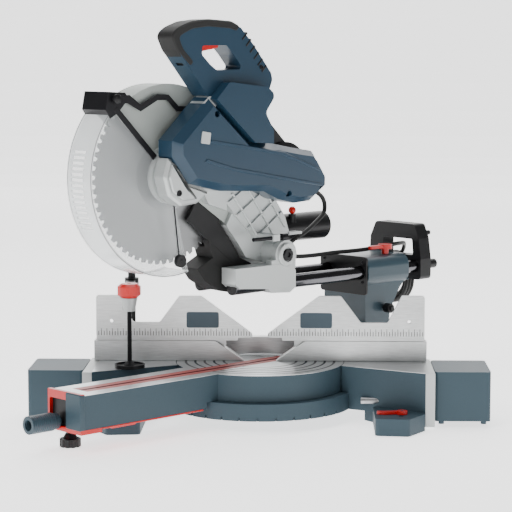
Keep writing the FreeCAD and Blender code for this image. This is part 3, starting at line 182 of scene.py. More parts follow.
def sharp_edges(data, degrees):
    """True for each edge whose two faces turn by more than the given angle."""
    normals = np.zeros(len(data.polygons) * 3)
    data.polygons.foreach_get("normal", normals)
    normals = normals.reshape(-1, 3)
    edge_of_loop = np.zeros(len(data.loops), int)
    data.loops.foreach_get("edge_index", edge_of_loop)
    sizes = np.zeros(len(data.polygons), int)
    data.polygons.foreach_get("loop_total", sizes)
    face_of_loop = np.repeat(np.arange(len(data.polygons)), sizes)
    order = np.argsort(edge_of_loop, kind="stable")
    edges, faces = edge_of_loop[order], face_of_loop[order]
    first, counts = np.unique(edges, return_index=True)[1], np.bincount(edges, minlength=len(data.edges))
    sharp = np.ones(len(data.edges), bool)
    pair = np.nonzero(counts[np.unique(edges)] == 2)[0]
    start = first[pair]
    dots = (normals[faces[start]] * normals[faces[start + 1]]).sum(-1)
    sharp[edges[start]] = dots < math.cos(math.radians(degrees))
    return sharp


def soften(made, width, segments=2, angle=32):
    """A small round along every sharp edge."""
    round_off = made.modifiers.new("soft_edges", "BEVEL")
    round_off.width, round_off.segments = width * MM, segments
    round_off.limit_method, round_off.angle_limit = "ANGLE", math.radians(angle)
    round_off.use_clamp_overlap = True
    round_off.harden_normals = False


def grow(outline, amount):
    """The closed outline moved outwards by amount, each corner along its mitre."""
    points = np.asarray(outline, float)
    before, after = points - np.roll(points, 1, 0), np.roll(points, -1, 0) - points
    before /= np.linalg.norm(before, axis=1, keepdims=True)
    after /= np.linalg.norm(after, axis=1, keepdims=True)
    area = np.cross(points, np.roll(points, -1, 0)).sum()
    side = 1 if area > 0 else -1
    n1 = np.stack([before[:, 1], -before[:, 0]], 1) * side
    n2 = np.stack([after[:, 1], -after[:, 0]], 1) * side
    return points + (n1 + n2) * (amount / (1 + (n1 * n2).sum(1)))[:, None]


def rounded(outline, radius, steps=5):
    """The outline with each corner turned into a quadratic arc that starts radius before it."""
    points = np.asarray(outline, float)
    before, after = np.roll(points, 1, 0), np.roll(points, -1, 0)
    t = np.linspace(0, 1, steps)[None, :, None]
    reach_back = np.minimum(radius, 0.45 * np.linalg.norm(before - points, axis=1))[:, None]
    reach_on = np.minimum(radius, 0.45 * np.linalg.norm(after - points, axis=1))[:, None]
    start = points + (before - points) / np.linalg.norm(before - points, axis=1)[:, None] * reach_back
    end = points + (after - points) / np.linalg.norm(after - points, axis=1)[:, None] * reach_on
    arc = (1 - t) ** 2 * start[:, None] + 2 * t * (1 - t) * points[:, None] + t ** 2 * end[:, None]
    return arc.reshape(-1, 2)


def placed(axis, a, b, level):
    """Points with two coordinates across the axis and one along it."""
    level = np.broadcast_to(level, np.shape(a))
    return np.stack({"x": (level, a, b), "y": (a, level, b), "z": (a, b, level)}[axis], -1)


def slab(name, outline, axis, low, high, edge, turned=True):
    """A plate: the outline at four levels, drawn in by edge at the first and last, with flat ends."""
    rings = [(grow(outline, -edge), low), (outline, low + edge), (outline, high - edge),
             (grow(outline, -edge), high)]
    points = np.concatenate([placed(axis, np.asarray(r)[:, 0], np.asarray(r)[:, 1], level)
                             for r, level in rings])
    count = len(outline)
    faces = list(grid_faces(4, count, False, True))
    faces += [np.arange(count)[::-1], np.arange(count) + 3 * count]
    return plain_mesh(name, points @ TO_WORLD if turned else points * MM, faces)


def turned_shape(name, profile, centre, aim, sides=48, turned=True, ripple=(0, 0)):
    """A surface of revolution: (distance along, radius) pairs swept round the line from centre
    along aim, its radius multiplied by 1 + depth * cos(count * angle)."""
    profile = np.asarray(profile, float)
    aim = np.asarray(aim, float) / np.linalg.norm(aim)
    side = np.cross(aim, [0.0, 0.0, 1.0] if abs(aim[2]) < 0.9 else [1.0, 0.0, 0.0])
    side /= np.linalg.norm(side)
    other = np.cross(aim, side)
    angle = np.linspace(0, 2 * math.pi, sides, endpoint=False)
    spoke = np.cos(angle)[:, None] * side + np.sin(angle)[:, None] * other
    wave = (1 + ripple[1] * np.cos(ripple[0] * angle))[None, :, None]
    points = (np.asarray(centre, float) + profile[:, 0, None, None] * aim
              + profile[:, 1, None, None] * wave * spoke[None])
    faces = list(grid_faces(len(profile), sides, False, True))
    faces += [np.arange(sides)[::-1], np.arange(sides) + (len(profile) - 1) * sides]
    flat = points.reshape(-1, 3)
    return plain_mesh(name, flat @ TO_WORLD if turned else flat * MM, faces)


def swept(name, path, radius, sides=16, turned=True, flat=1.0):
    """A tube: a circle of the given radius carried along the path on frames that never twist."""
    path = np.asarray(path, float)
    tangent = np.gradient(path, axis=0)
    tangent /= np.linalg.norm(tangent, axis=1, keepdims=True)
    normal = np.zeros_like(path)
    start = np.cross(tangent[0], [0.3, 0.2, 1.0])
    normal[0] = start / np.linalg.norm(start)
    for i in range(1, len(path)):
        carried = normal[i - 1] - tangent[i] * (normal[i - 1] @ tangent[i])
        normal[i] = carried / np.linalg.norm(carried)
    other = np.cross(tangent, normal)
    angle = np.linspace(0, 2 * math.pi, sides, endpoint=False)
    radius = np.broadcast_to(radius, len(path))[:, None, None]
    points = path[:, None] + radius * (np.cos(angle)[None, :, None] * normal[:, None]
                                       + flat * np.sin(angle)[None, :, None] * other[:, None])
    faces = list(grid_faces(len(path), sides, False, True))
    faces += [np.arange(sides)[::-1], np.arange(sides) + (len(path) - 1) * sides]
    whole = points.reshape(-1, 3)
    return plain_mesh(name, whole @ TO_WORLD if turned else whole, faces)


def joined(name, pieces):
    """Several meshes as one piece."""
    work = bmesh.new()
    for piece in pieces:
        work.from_mesh(piece.data)
    data = bpy.data.meshes.new(name)
    work.to_mesh(data)
    work.free()
    for piece in pieces:
        bpy.data.objects.remove(piece)
    made = bpy.data.objects.new(name, data)
    bpy.context.scene.collection.objects.link(made)
    return made


# ---- finishes ---------------------------------------------------------------------------
class Net:
    """Short names for building a node tree."""

    def __init__(self, tree):
        self.tree = tree

    def add(self, kind, values=(), **settings):
        node = self.tree.nodes.new("ShaderNode" + kind)
        for key, value in settings.items():
            setattr(node, key, value)
        for key, value in dict(values).items():
            self.put(value, node.inputs[key])
        return node

    def put(self, value, socket):
        if isinstance(value, bpy.types.NodeSocket):
            self.tree.links.new(value, socket)
        else:
            socket.default_value = value

    def sum(self, operation, *values):
        node = self.add("Math", operation=operation)
        for socket, value in zip(node.inputs, values):
            self.put(value, socket)
        return node.outputs[0]

    def dot(self, vector, direction):
        node = self.add("VectorMath", operation="DOT_PRODUCT")
        self.put(vector, node.inputs[0])
        node.inputs[1].default_value = tuple(direction)
        return node.outputs["Value"]

    def fit(self, value, low, high, low_to, high_to):
        return self.add("MapRange", {"Value": value, "From Min": low, "From Max": high,
                                     "To Min": low_to, "To Max": high_to}).outputs[0]

    def mix(self, share, a, b):
        node = self.add("Mix", data_type="RGBA")
        self.put(share, node.inputs["Factor"])
        self.put(a, node.inputs[6])
        self.put(b, node.inputs[7])
        return node.outputs[2]


def new_group(name, inputs, outputs):
    tree = bpy.data.node_groups.new(name, "ShaderNodeTree")
    for label, kind, default in inputs:
        made = tree.interface.new_socket(label, in_out="INPUT", socket_type="NodeSocket" + kind)
        if default is not None:
            made.default_value = default
    for label, kind in outputs:
        tree.interface.new_socket(label, in_out="OUTPUT", socket_type="NodeSocket" + kind)
    return Net(tree), tree.nodes.new("NodeGroupInput").outputs, tree.nodes.new("NodeGroupOutput").inputs


def worn_group():
    """Colour, gloss and height that wander a little with noise, as moulded and painted skins do."""
    net, given, out = new_group(
        "worn_surface",
        [("Vector", "Vector", None), ("Color", "Color", None), ("Scale", "Float", 60.0),
         ("Spread", "Float", 0.08), ("Roughness", "Float", 0.4), ("Depth", "Float", 0.0001)],
        [("Color", "Color"), ("Roughness", "Float"), ("Normal", "Vector")])
    broad = net.add("TexNoise", {"Vector": given["Vector"], "Scale": 14.0, "Detail": 4.0})
    fine = net.add("TexNoise", {"Vector": given["Vector"], "Scale": given["Scale"], "Detail": 3.0})
    both = net.sum("MULTIPLY_ADD", fine.outputs[0], 0.4, net.sum("MULTIPLY", broad.outputs[0], 0.6))
    swing = net.sum("MULTIPLY", net.sum("SUBTRACT", both, 0.5), given["Spread"])
    shade = net.add("HueSaturation", {"Color": given["Color"], "Value": net.sum("MULTIPLY_ADD", swing, 4.0, 1.0)})
    net.put(shade.outputs[0], out["Color"])
    net.put(net.sum("ADD", given["Roughness"], swing), out["Roughness"])
    bump = net.add("Bump", {"Height": fine.outputs[0], "Distance": given["Depth"], "Strength": 0.7})
    net.put(bump.outputs[0], out["Normal"])
    return net.tree


def brushed_group():
    """Fine streaks along one direction, with a broad mottle under them."""
    net, given, out = new_group(
        "brushed_metal",
        [("Vector", "Vector", None), ("Color", "Color", None), ("Stretch", "Vector", None),
         ("Roughness", "Float", 0.3)],
        [("Color", "Color"), ("Roughness", "Float"), ("Normal", "Vector")])
    scaled = net.add("VectorMath", operation="MULTIPLY")
    net.put(given["Vector"], scaled.inputs[0])
    net.put(given["Stretch"], scaled.inputs[1])
    streak = net.add("TexNoise", {"Vector": scaled.outputs[0], "Scale": 1.0, "Detail": 5.0})
    mottle = net.add("TexNoise", {"Vector": given["Vector"], "Scale": 22.0, "Detail": 6.0})
    level = net.fit(streak.outputs[0], 0.3, 0.7, 0.86, 1.08)
    level = net.sum("MULTIPLY", level, net.fit(mottle.outputs[0], 0.35, 0.7, 0.93, 1.05))
    shade = net.add("HueSaturation", {"Color": given["Color"], "Value": level})
    net.put(shade.outputs[0], out["Color"])
    net.put(net.sum("MULTIPLY_ADD", streak.outputs[0], 0.14, given["Roughness"]), out["Roughness"])
    bump = net.add("Bump", {"Height": streak.outputs[0], "Distance": 0.00006, "Strength": 0.5})
    net.put(bump.outputs[0], out["Normal"])
    return net.tree


def reach_group():
    """Distance from the arbor's line, and the places across and along the saw."""
    net, given, out = new_group(
        "saw_places", [("Vector", "Vector", None)],
        [("From Arbor", "Float"), ("Across", "Float"), ("Along", "Float"), ("Height", "Float")])
    along = net.dot(given["Vector"], BACK)
    height = net.dot(given["Vector"], UP)
    dy = net.sum("SUBTRACT", along, float(ARBOR[1]) * MM)
    dz = net.sum("SUBTRACT", height, float(ARBOR[2]) * MM)
    squares = net.sum("ADD", net.sum("POWER", dy, 2.0), net.sum("POWER", dz, 2.0))
    net.put(net.sum("SQRT", squares), out["From Arbor"])
    net.put(net.dot(given["Vector"], RIGHT), out["Across"])
    net.put(along, out["Along"])
    net.put(height, out["Height"])
    return net.tree


GROUPS = {"worn": worn_group(), "brushed": brushed_group(), "places": reach_group()}


class Finish:
    """A material under construction: object coordinates in, one Principled shader out."""

    def __init__(self, name, metallic=0.0, coat=0.0):
        self.material = bpy.data.materials.new(name)
        self.material.use_nodes = True
        self.net = Net(self.material.node_tree)
        self.shader = self.material.node_tree.nodes["Principled BSDF"]
        self.shader.inputs["Metallic"].default_value = metallic
        self.shader.inputs["Coat Weight"].default_value = coat
        self.shader.inputs["Specular IOR Level"].default_value = 0.3
        self.shader.inputs["Coat Roughness"].default_value = 0.15
        self.where = self.net.add("TexCoord").outputs["Object"]

    def use(self, group, values):
        node = self.net.add("Group", node_tree=GROUPS[group])
        self.net.put(self.where, node.inputs["Vector"])
        for key, value in values.items():
            self.net.put(value, node.inputs[key])
        return node.outputs

    def places(self):
        return self.use("places", {})

    def wear(self, made):
        for key, socket in (("Color", "Base Color"), ("Roughness", "Roughness"), ("Normal", "Normal")):
            self.net.put(made[key], self.shader.inputs[socket])
        return self


def shade(rgb):
    return (*rgb, 1.0)


def plain(name, rgb, roughness, scale=160.0, spread=0.06, depth=0.00012, metallic=0.0, coat=0.0):
    """A painted or moulded skin."""
    finish = Finish(name, metallic, coat)
    made = finish.use("worn", {"Color": shade(rgb), "Scale": scale, "Spread": spread,
                               "Roughness": roughness, "Depth": depth})
    return finish.wear(made).material


def brushed(name, rgb, roughness, stretch, metallic=1.0):
    finish = Finish(name, metallic)
    made = finish.use("brushed", {"Color": shade(rgb), "Stretch": stretch, "Roughness": roughness})
    return finish.wear(made).material


def machined_top(name, rgb, level, groove_shade_radii=()):
    """Paint below, bare machined metal above the given height, with dark rings of painted shade at some radii
    where the turned grooves lie.
    """
    finish = Finish(name)
    net = finish.net
    paint = finish.use("worn", {"Color": shade(rgb), "Scale": 320.0, "Spread": 0.07, "Roughness": 0.5,
                                "Depth": 0.00025})
    bare = finish.use("brushed", {"Color": shade((0.72, 0.74, 0.75)), "Stretch": (30, 520, 30),
                                  "Roughness": 0.3})
    height = net.add("SeparateXYZ", {"Vector": finish.where}).outputs["Z"]
    above = net.sum("GREATER_THAN", height, level)
    colour = net.mix(above, paint["Color"], bare["Color"])
    flat = net.add("VectorMath", operation="MULTIPLY")
    net.put(finish.where, flat.inputs[0])
    flat.inputs[1].default_value = (1, 1, 0)
    length = net.add("VectorMath", operation="LENGTH")
    net.put(flat.outputs[0], length.inputs[0])
    # painted shade: a near-black ring at each listed radius stands in for the shade inside a groove
    for radius in groove_shade_radii:
        off = net.sum("ABSOLUTE", net.sum("SUBTRACT", length.outputs["Value"], radius))
        groove_shade = net.sum("MULTIPLY", net.sum("LESS_THAN", off, 0.0022), above)
        colour = net.mix(groove_shade, colour, shade((0.05, 0.055, 0.06)))
    net.put(colour, finish.shader.inputs["Base Color"])
    net.put(net.fit(above, 0, 1, 0.5, 0.3), finish.shader.inputs["Roughness"])
    net.put(net.sum("MULTIPLY", above, 0.9), finish.shader.inputs["Metallic"])
    net.put(paint["Normal"], finish.shader.inputs["Normal"])
    return finish.material


def fence_metal():
    """Bright aluminium with a ruler of black ticks: one each 5 mm, every second one longer."""
    finish = Finish("fence_metal", 0.85)
    net = finish.net
    made = finish.use("brushed", {"Color": shade((0.7, 0.71, 0.71)), "Stretch": (40, 40, 420),
                                  "Roughness": 0.3})
    parts = net.add("SeparateXYZ", {"Vector": finish.where}).outputs
    step = net.sum("FRACT", net.sum("DIVIDE", net.sum("ADD", parts["X"], 0.5), 0.005))
    double = net.sum("FRACT", net.sum("DIVIDE", net.sum("ADD", parts["X"], 0.5), 0.010))
    tall = net.sum("LESS_THAN", double, 0.09)
    top = net.sum("MULTIPLY_ADD", tall, 0.005, 0.1545)
    line = net.sum("MULTIPLY", net.sum("LESS_THAN", step, 0.24), net.sum("GREATER_THAN", parts["Z"], 0.1465))
    line = net.sum("MULTIPLY", line, net.sum("LESS_THAN", parts["Z"], top))
    line = net.sum("MULTIPLY", line, net.sum("LESS_THAN", parts["Y"], 0.0006))
    finish.wear(made)
    net.put(net.mix(line, made["Color"], shade((0.02, 0.02, 0.02))), finish.shader.inputs["Base Color"])
    net.put(net.fit(line, 0, 1, 0.85, 0.1), finish.shader.inputs["Metallic"])
    return finish.material


def blade_metal():
    """Ground steel: fine rings round the arbor and a darker centre."""
    finish = Finish("blade_metal", 0.85)
    net = finish.net
    reach = finish.places()["From Arbor"]
    rings = net.add("TexNoise", {"W": net.sum("MULTIPLY", reach, 900.0), "Scale": 1.0, "Detail": 4.0},
                    noise_dimensions="1D")
    level = net.fit(rings.outputs[0], 0.3, 0.7, 0.85, 1.1)
    inside = net.sum("LESS_THAN", reach, 0.058)
    level = net.sum("SUBTRACT", level, net.sum("MULTIPLY", inside, 0.25))
    made = net.add("HueSaturation", {"Color": shade((0.30, 0.305, 0.31)), "Value": level})
    net.put(made.outputs[0], finish.shader.inputs["Base Color"])
    net.put(net.fit(rings.outputs[0], 0, 1, 0.3, 0.5), finish.shader.inputs["Roughness"])
    bump = net.add("Bump", {"Height": rings.outputs[0], "Distance": 0.00005})
    net.put(bump.outputs[0], finish.shader.inputs["Normal"])
    return finish.material


def clear_plastic():
    """Clear moulding: nearly unseen through its sides, milkier round the rim, where the raised opacity is a
    painted highlight for the edge's reflection.
    """
    finish = Finish("clear_plastic", 0.0, 0.6)
    net = finish.net
    made = finish.use("worn", {"Color": shade((0.82, 0.86, 0.87)), "Scale": 40.0, "Spread": 0.03,
                               "Roughness": 0.12, "Depth": 0.00004})
    finish.wear(made)
    reach = finish.places()["From Arbor"]
    # painted highlight: opacity rises beyond 167.5 mm from the arbor to stand for the bright reflection along the
    # clear rim
    net.put(net.fit(reach, 0.1675, 0.1690, 0.16, 0.5), finish.shader.inputs["Alpha"])
    return finish.material


def striped(name, rgb, roughness, axis, pitch, depth, metallic=0.0):
    """Even ridges across an axis, for threads and grip rings."""
    finish = Finish(name, metallic)
    net = finish.net
    made = finish.use("worn", {"Color": shade(rgb), "Scale": 160.0, "Spread": 0.05, "Roughness": roughness,
                               "Depth": 0.0001})
    finish.wear(made)
    turn = net.sum("MULTIPLY", net.dot(finish.where, axis), 2 * math.pi / pitch)
    bump = net.add("Bump", {"Height": net.sum("SINE", turn), "Distance": depth, "Normal": made["Normal"]})
    net.put(bump.outputs[0], finish.shader.inputs["Normal"])
    return finish.material


def insert_plastic():
    """Red moulded strips either side of a darker slot line, the dark band being painted shade where the kerf slot
    lies.
    """
    finish = Finish("insert_plastic")
    net = finish.net
    made = finish.use("worn", {"Color": shade((0.50, 0.10, 0.09)), "Scale": 90.0, "Spread": 0.06,
                               "Roughness": 0.42, "Depth": 0.0001})
    finish.wear(made)
    across = net.sum("ABSOLUTE", finish.places()["Across"])
    # painted shade: within 4.5 mm of the blade's plane the red turns dark, standing for the shade in the kerf slot
    edge = net.sum("LESS_THAN", across, 0.0045)
    net.put(net.mix(edge, made["Color"], shade((0.16, 0.02, 0.02))), finish.shader.inputs["Base Color"])
    return finish.material


def two_tone(name, first, second, place, level, roughness):
    """One moulding in two colours that meet at a plane."""
    finish = Finish(name, 0.0, 0.15)
    net = finish.net
    colour = net.mix(net.sum("GREATER_THAN", finish.places()[place], level), shade(first), shade(second))
    made = finish.use("worn", {"Color": colour, "Scale": 200.0, "Spread": 0.06, "Roughness": roughness,
                               "Depth": 0.0001})
    return finish.wear(made).material


BLUE, NAVY, BLACK = (0.014, 0.040, 0.070), (0.040, 0.070, 0.090), (0.008, 0.008, 0.009)
RED, GREY = (0.62, 0.008, 0.006), (0.56, 0.585, 0.58)
MATERIALS = {
    "blue_paint": plain("blue_shell", BLUE, 0.34, 260.0, 0.05, 0.00008, 0.0, 0.25),
    "base_paint": machined_top("casting_paint", NAVY, 0.0994),
    "light_alloy": plain("cast_alloy", GREY, 0.45, 420.0, 0.06, 0.0002, 0.55),
    "bright_alloy": fence_metal(),
    "black_plastic": plain("black_moulding", BLACK, 0.42, 300.0, 0.05, 0.0001),
    "black_steel": plain("black_steel", (0.013, 0.013, 0.015), 0.3, 200.0, 0.05, 0.00006, 0.3),
    "red_plastic": plain("red_moulding", RED, 0.3, 200.0, 0.05, 0.00006, 0.0, 0.3),
    "insert_plastic": insert_plastic(),
    "steel": brushed("turned_steel", (0.55, 0.55, 0.56), 0.28, (300, 300, 300)),
    "rail_chrome": brushed("plated_steel", (0.13, 0.13, 0.14), 0.10, (20, 20, 500)),
    "blade_steel": blade_metal(),
    "bronze": brushed("bush_bronze", (0.5, 0.34, 0.16), 0.4, (200, 200, 200)),
    "copper_core": plain("wound_core", (0.2, 0.09, 0.05), 0.5, 500.0, 0.1, 0.0003, 0.4),
    "rubber": plain("soft_rubber", (0.014, 0.014, 0.014), 0.62, 500.0, 0.05, 0.0002),
    "cord_rubber": plain("cord_sheath", (0.012, 0.012, 0.012), 0.5, 700.0, 0.05, 0.0001),
    "clear_guard": clear_plastic(),
    "guard_grey": clear_plastic(),
}


def clamp_metal():
    """Black steel with the bare nut at the end of its arm."""
    finish = Finish("clamp_body", 0.3)
    net = finish.net
    parts = net.add("SeparateXYZ", {"Vector": finish.where}).outputs
    nut = net.sum("MULTIPLY", net.sum("LESS_THAN", parts["Y"], -0.045), net.sum("LESS_THAN", parts["Z"], 0.2275))
    made = finish.use("worn", {"Color": net.mix(nut, shade(BLACK), shade((0.42, 0.44, 0.44))),
                               "Scale": 200.0, "Spread": 0.05, "Roughness": 0.35, "Depth": 0.0001})
    return finish.wear(made).material


def arm_casting():
    """Bare casting, painted black where it backs the drive and the motor."""
    finish = Finish("arm_casting", 0.45)
    net = finish.net
    places = finish.places()
    dark = net.sum("MULTIPLY", net.sum("GREATER_THAN", places["Along"], -0.06),
                   net.sum("GREATER_THAN", places["Height"], 0.428))
    made = finish.use("worn", {"Color": net.mix(dark, shade(GREY), shade(BLACK)), "Scale": 420.0,
                               "Spread": 0.06, "Roughness": 0.45, "Depth": 0.0002})
    return finish.wear(made).material


SPECIAL = {
    "head_casting": arm_casting(),
    "clamp_post": clamp_metal(),
    # the listed radii get dark rings of painted shade for the turntable's grooves
    "turntable": machined_top("table_paint", NAVY, 0.0994, (0.066, 0.084, 0.101, 0.118, 0.135)),
    "extension_left": plain("extension_paint", NAVY, 0.46, 320.0, 0.06, 0.00025),
    "trunnion": plain("bracket_paint", NAVY, 0.36, 260.0, 0.05, 0.00015, 0.0, 0.2),
    "mitre_handle": striped("grip_tube", NAVY, 0.38, BACK, 0.0042, 0.0003),
    "clamp_spindle": striped("black_thread", (0.015, 0.015, 0.017), 0.34, UP, 0.0022, 0.0005, 0.5),
    "support_foot": two_tone("foot_screw", BLACK, (0.45, 0.45, 0.45), "Height", 0.0235, 0.4),
    "motor_housing": two_tone("motor_shell", BLUE, BLACK, "Across", -0.0625, 0.38),
    "dust_port": two_tone("port_shell", BLUE, BLACK, "Along", 0.066, 0.4),
    "upper_guard": plain("guard_casting", (0.40, 0.43, 0.41), 0.5, 380.0, 0.06, 0.0002, 0.35),
}


# ---- mains lead -------------------------------------------------------------------------
HEAD_LEAD = [(0, 96, 420), (0, 120, 411), (0, 146, 402), (0, 166, 386), (3, 164, 362),
             (9, 140, 350), (16, 112, 338), (22, 86, 328), (24, 66, 322)]
REAR_LEAD = [(24.1, 63, 320.6), (24, 50, 314), (22, 45, 301), (18, 55, 291), (11, 82, 286),
             (9, 132, 284.5), (7, 186, 286), (9, 240, 285), (8, 294, 286), (3, 345, 288),
             (-8, 392, 288), (-26, 420, 284)]
LEAD_OUT = [(-111, 442, 229), (-118, 440, 216), (-119, 433, 207), (-118, 425, 200), (-118, 424, 196)]
COIL_CENTRE = (-62.0, 424.0, 214.0)
CORD_DIAMETER = 0.008


def coil_route():
    """Six turns on two layers: the angle grows evenly, the radius is 48.3 mm for three turns and
    39.8 mm for three, and the place along the coil's axis goes forward one pitch a turn, then back."""
    turns = np.arange(0.0, 6.13, 1 / 16)
    angle = math.radians(72) + 2 * math.pi * turns
    blend = np.clip((turns - 2.9) / 0.2, 0, 1)
    radius = 49.2 + (40.5 - 49.2) * blend
    along = 436.0 - 8.3 * np.where(turns < 3, turns, 6 - turns)
    x, _, z = COIL_CENTRE
    return np.stack([x + radius * np.cos(angle), along, z + radius * np.sin(angle)], -1)


def cord_curve(name, route, body, stands_for, **facts):
    """The cord as one smooth spline whose control points are the route's points."""
    points = np.asarray(route, float) @ TO_WORLD
    data = bpy.data.curves.new(name, "CURVE")
    data.dimensions = "3D"
    data.bevel_depth = CORD_DIAMETER / 2
    data.bevel_resolution = 5
    data.resolution_u = 5
    data.use_fill_caps = True
    line = data.splines.new("NURBS")
    line.points.add(len(points) - 1)
    line.points.foreach_set("co", np.column_stack([points, np.ones(len(points))]).ravel())
    line.order_u = 3
    line.use_endpoint_u = True
    data.materials.append(MATERIALS["cord_rubber"])
    made = bpy.data.objects.new(name, data)
    bpy.context.scene.collection.objects.link(made)
    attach(made, body)
    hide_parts(*stands_for)
    return made


def cords():
    cord_curve("mains_lead_front", HEAD_LEAD, "head", ["lead_head"], length=0.205, far_end="object",
               lay="loose")
    route = np.concatenate([REAR_LEAD, coil_route(), LEAD_OUT])
    cord_curve("mains_lead_rear", route, "carriage", ["lead_rear", "lead_coil"], length=2.15,
               far_end="plug", lay="coiled", with_pieces=[NODES["mains_plug"]])
    start, second = np.array(HEAD_LEAD[0], float), np.array(HEAD_LEAD[1], float)
    profile = [(-14, 7.6), (0, 6.8), (2, 6.8), (3, 5.6), (6, 5.6), (7, 6.4), (11, 6.3), (12, 5.2),
               (16, 5.2), (17, 5.9), (21, 5.8), (22, 4.8), (28, 4.5)]
    relief = turned_shape("strain_relief", profile, start, second - start, 32)
    finish_piece(relief, "head", MATERIALS["rubber"], 60)


# ---- softened copies of the built parts -------------------------------------------------
SOFT = {
    "base_casting": 1.2, "base_end_plates": 1.6, "fixed_fence": 0.7, "fence_left": 0.8,
    "fence_right": 0.8, "clamp_post": 0.9, "clamp_knob": 1.0, "clamp_spindle": 0.5,
    "extension_left": 1.4, "extension_right": 1.4, "extension_lever_left": 1.0,
    "extension_lever_right": 1.0, "turntable": 0.8, "kerf_inserts": 0.3, "arm_cap": 1.2,
    "mitre_handle": 1.4, "detent_lever": 0.7, "support_foot": 1.0, "trunnion": 1.8,
    "wiper_plate": 0.8, "bevel_lever": 1.2, "bevel_stop": 0.8, "slide_knob": 1.0, "rails": 0.6,
    "carrier": 1.3, "rear_bracket": 1.6, "mains_plug": 2.0, "head_casting": 1.4,
    "belt_cover": 2.2, "cover_screws": 0.4, "upper_guard": 1.0, "handle": 2.6, "motor_housing": 1.8,
    "dust_chute": 1.0, "chute_flap": 1.0, "dust_port": 1.2, "depth_bar": 0.5, "lower_guard": 0.5,
    "guard_arm": 0.5, "guard_roller": 0.8, "guard_link": 0.4, "blade": 0.0, "arbor": 0.5,
    "trigger": 1.8, "lock_off": 1.2, "lock_pin": 0.0,
}


def softened(node, width):
    """A copy of a built part with merged corners and small rounds along its edges."""
    data = NODES[node].data.copy()
    data.name = node + "_soft"
    made = bpy.data.objects.new(node + "_soft", data)
    bpy.context.scene.collection.objects.link(made)
    work = bmesh.new()
    work.from_mesh(data)
    bmesh.ops.remove_doubles(work, verts=work.verts, dist=2e-6)
    bmesh.ops.dissolve_limit(work, angle_limit=math.radians(0.6), verts=work.verts, edges=work.edges)
    bmesh.ops.recalc_face_normals(work, faces=work.faces)
    work.to_mesh(data)
    work.free()
    data.materials.clear()
    data.materials.append(SPECIAL.get(node, MATERIALS[SLOT_OF[node]]))
    data.shade_smooth()
    if width:
        soften(made, width)
        weigh = made.modifiers.new("even_shading", "WEIGHTED_NORMAL")
        weigh.keep_sharp = True
    else:
        edges = data.attributes.get("sharp_edge") or data.attributes.new("sharp_edge", "BOOLEAN", "EDGE")
        edges.data.foreach_set("value", sharp_edges(data, 30))
    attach(made, BODY_OF[node])
    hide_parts(node)


def built_parts():
    for node, made in NODES.items():
        made.data.materials.clear()
        made.data.materials.append(SPECIAL.get(node, MATERIALS[SLOT_OF[node]]))
        if node in SOFT:
            softened(node, SOFT[node])


# ---- details ----------------------------------------------------------------------------
def place_slab(name, outline, low, high, edge, body, finish, axis="x", corner=0.0, bevel=0.0):
    if corner:
        outline = rounded(outline, corner)
    made = slab(name, outline, axis, low, high, edge)
    return finish_piece(made, body, finish, 30, bevel)


def screw_head(name, centre, aim, radius, body, slot="black_steel"):
    """A socket screw: a domed rim round a recess."""
    profile = [(-1.5, radius), (1.2, radius), (1.9, radius - 0.6), (2.1, radius * 0.62),
               (2.0, radius * 0.52), (0.6, radius * 0.5), (0.5, 0.02)]
    made = turned_shape(name, profile, centre, aim, 24)
    finish_piece(made, body, MATERIALS[slot], 40)


def handle_details():
    grip = [(-222, 636), (-251.5, 662), (-264, 686), (-259.5, 695), (-245.6, 703.6), (-219, 712.6),
            (-182, 716.6), (-128, 713.6), (-108, 705), (-116, 695), (-132, 700), (-182, 703),
            (-217, 699), (-241, 689), (-246, 684), (-238, 667), (-214, 645)]
    place_slab("soft_grip", grip, 23.3, 65.3, 2.4, "head", MATERIALS["rubber"], corner=6)
    for k in range(6):
        t = k / 5
        y, z = -98 + 46 * t, 692 - 56 * t
        bar = [(y - 6.5, z - 8.5), (y + 5.2, z + 3.0), (y + 7.6, z + 0.6), (y - 4.1, z - 10.9)]
        place_slab("handle_rib_%d" % k, bar, 27.5, 65.4, 1.0, "head", MATERIALS["black_plastic"])
    for k, (y, z) in enumerate([(-146, 606), (-84, 588), (-58, 634)]):
        screw_head("handle_screw_%d" % k, (64.0, y, z), (1, 0, 0), 4.2, "head")


def cover_details():
    for name, ridge in (("upper", [(-196, 508), (-120, 496), (-20, 480), (72, 447), (74, 452),
                                   (-18, 486), (-118, 502), (-190, 513)]),
                        ("lower", [(-206, 476), (-140, 458), (-40, 440), (78, 420), (80, 425),
                                   (-38, 446), (-138, 464), (-200, 481)])):
        place_slab("cover_ridge_" + name, ridge, 77, 81.6, 1.4, "head", MATERIALS["blue_paint"])
    tab = [(-214, 508), (-194, 505), (-191, 525), (-211, 528)]
    place_slab("cover_plate", tab, 78, 81.2, 0.5, "head", MATERIALS["light_alloy"],
               corner=2)
    block = [(-268, 484), (-278, 452), (-268, 420), (-240, 401), (-203, 404), (-178, 422), (-224, 437),
             (-262, 482)]
    place_slab("gear_block", block, 28.2, 60, 4.0, "head", MATERIALS["light_alloy"],
               corner=3)
    face = [(-262, 476), (-270, 452), (-262, 426), (-238, 410), (-206, 412), (-230, 432)]
    place_slab("gear_face", face, 59, 63.5, 3.0, "head", MATERIALS["light_alloy"],
               corner=3)
    screw_head("gear_screw", (63.0, -248, 424), (1, 0, 0), 5.5, "head")
    tab = [(-196, 574), (-180, 586), (-150, 582), (-168, 566)]
    place_slab("casting_tab", tab, 30, 66, 1.5, "head", MATERIALS["light_alloy"])


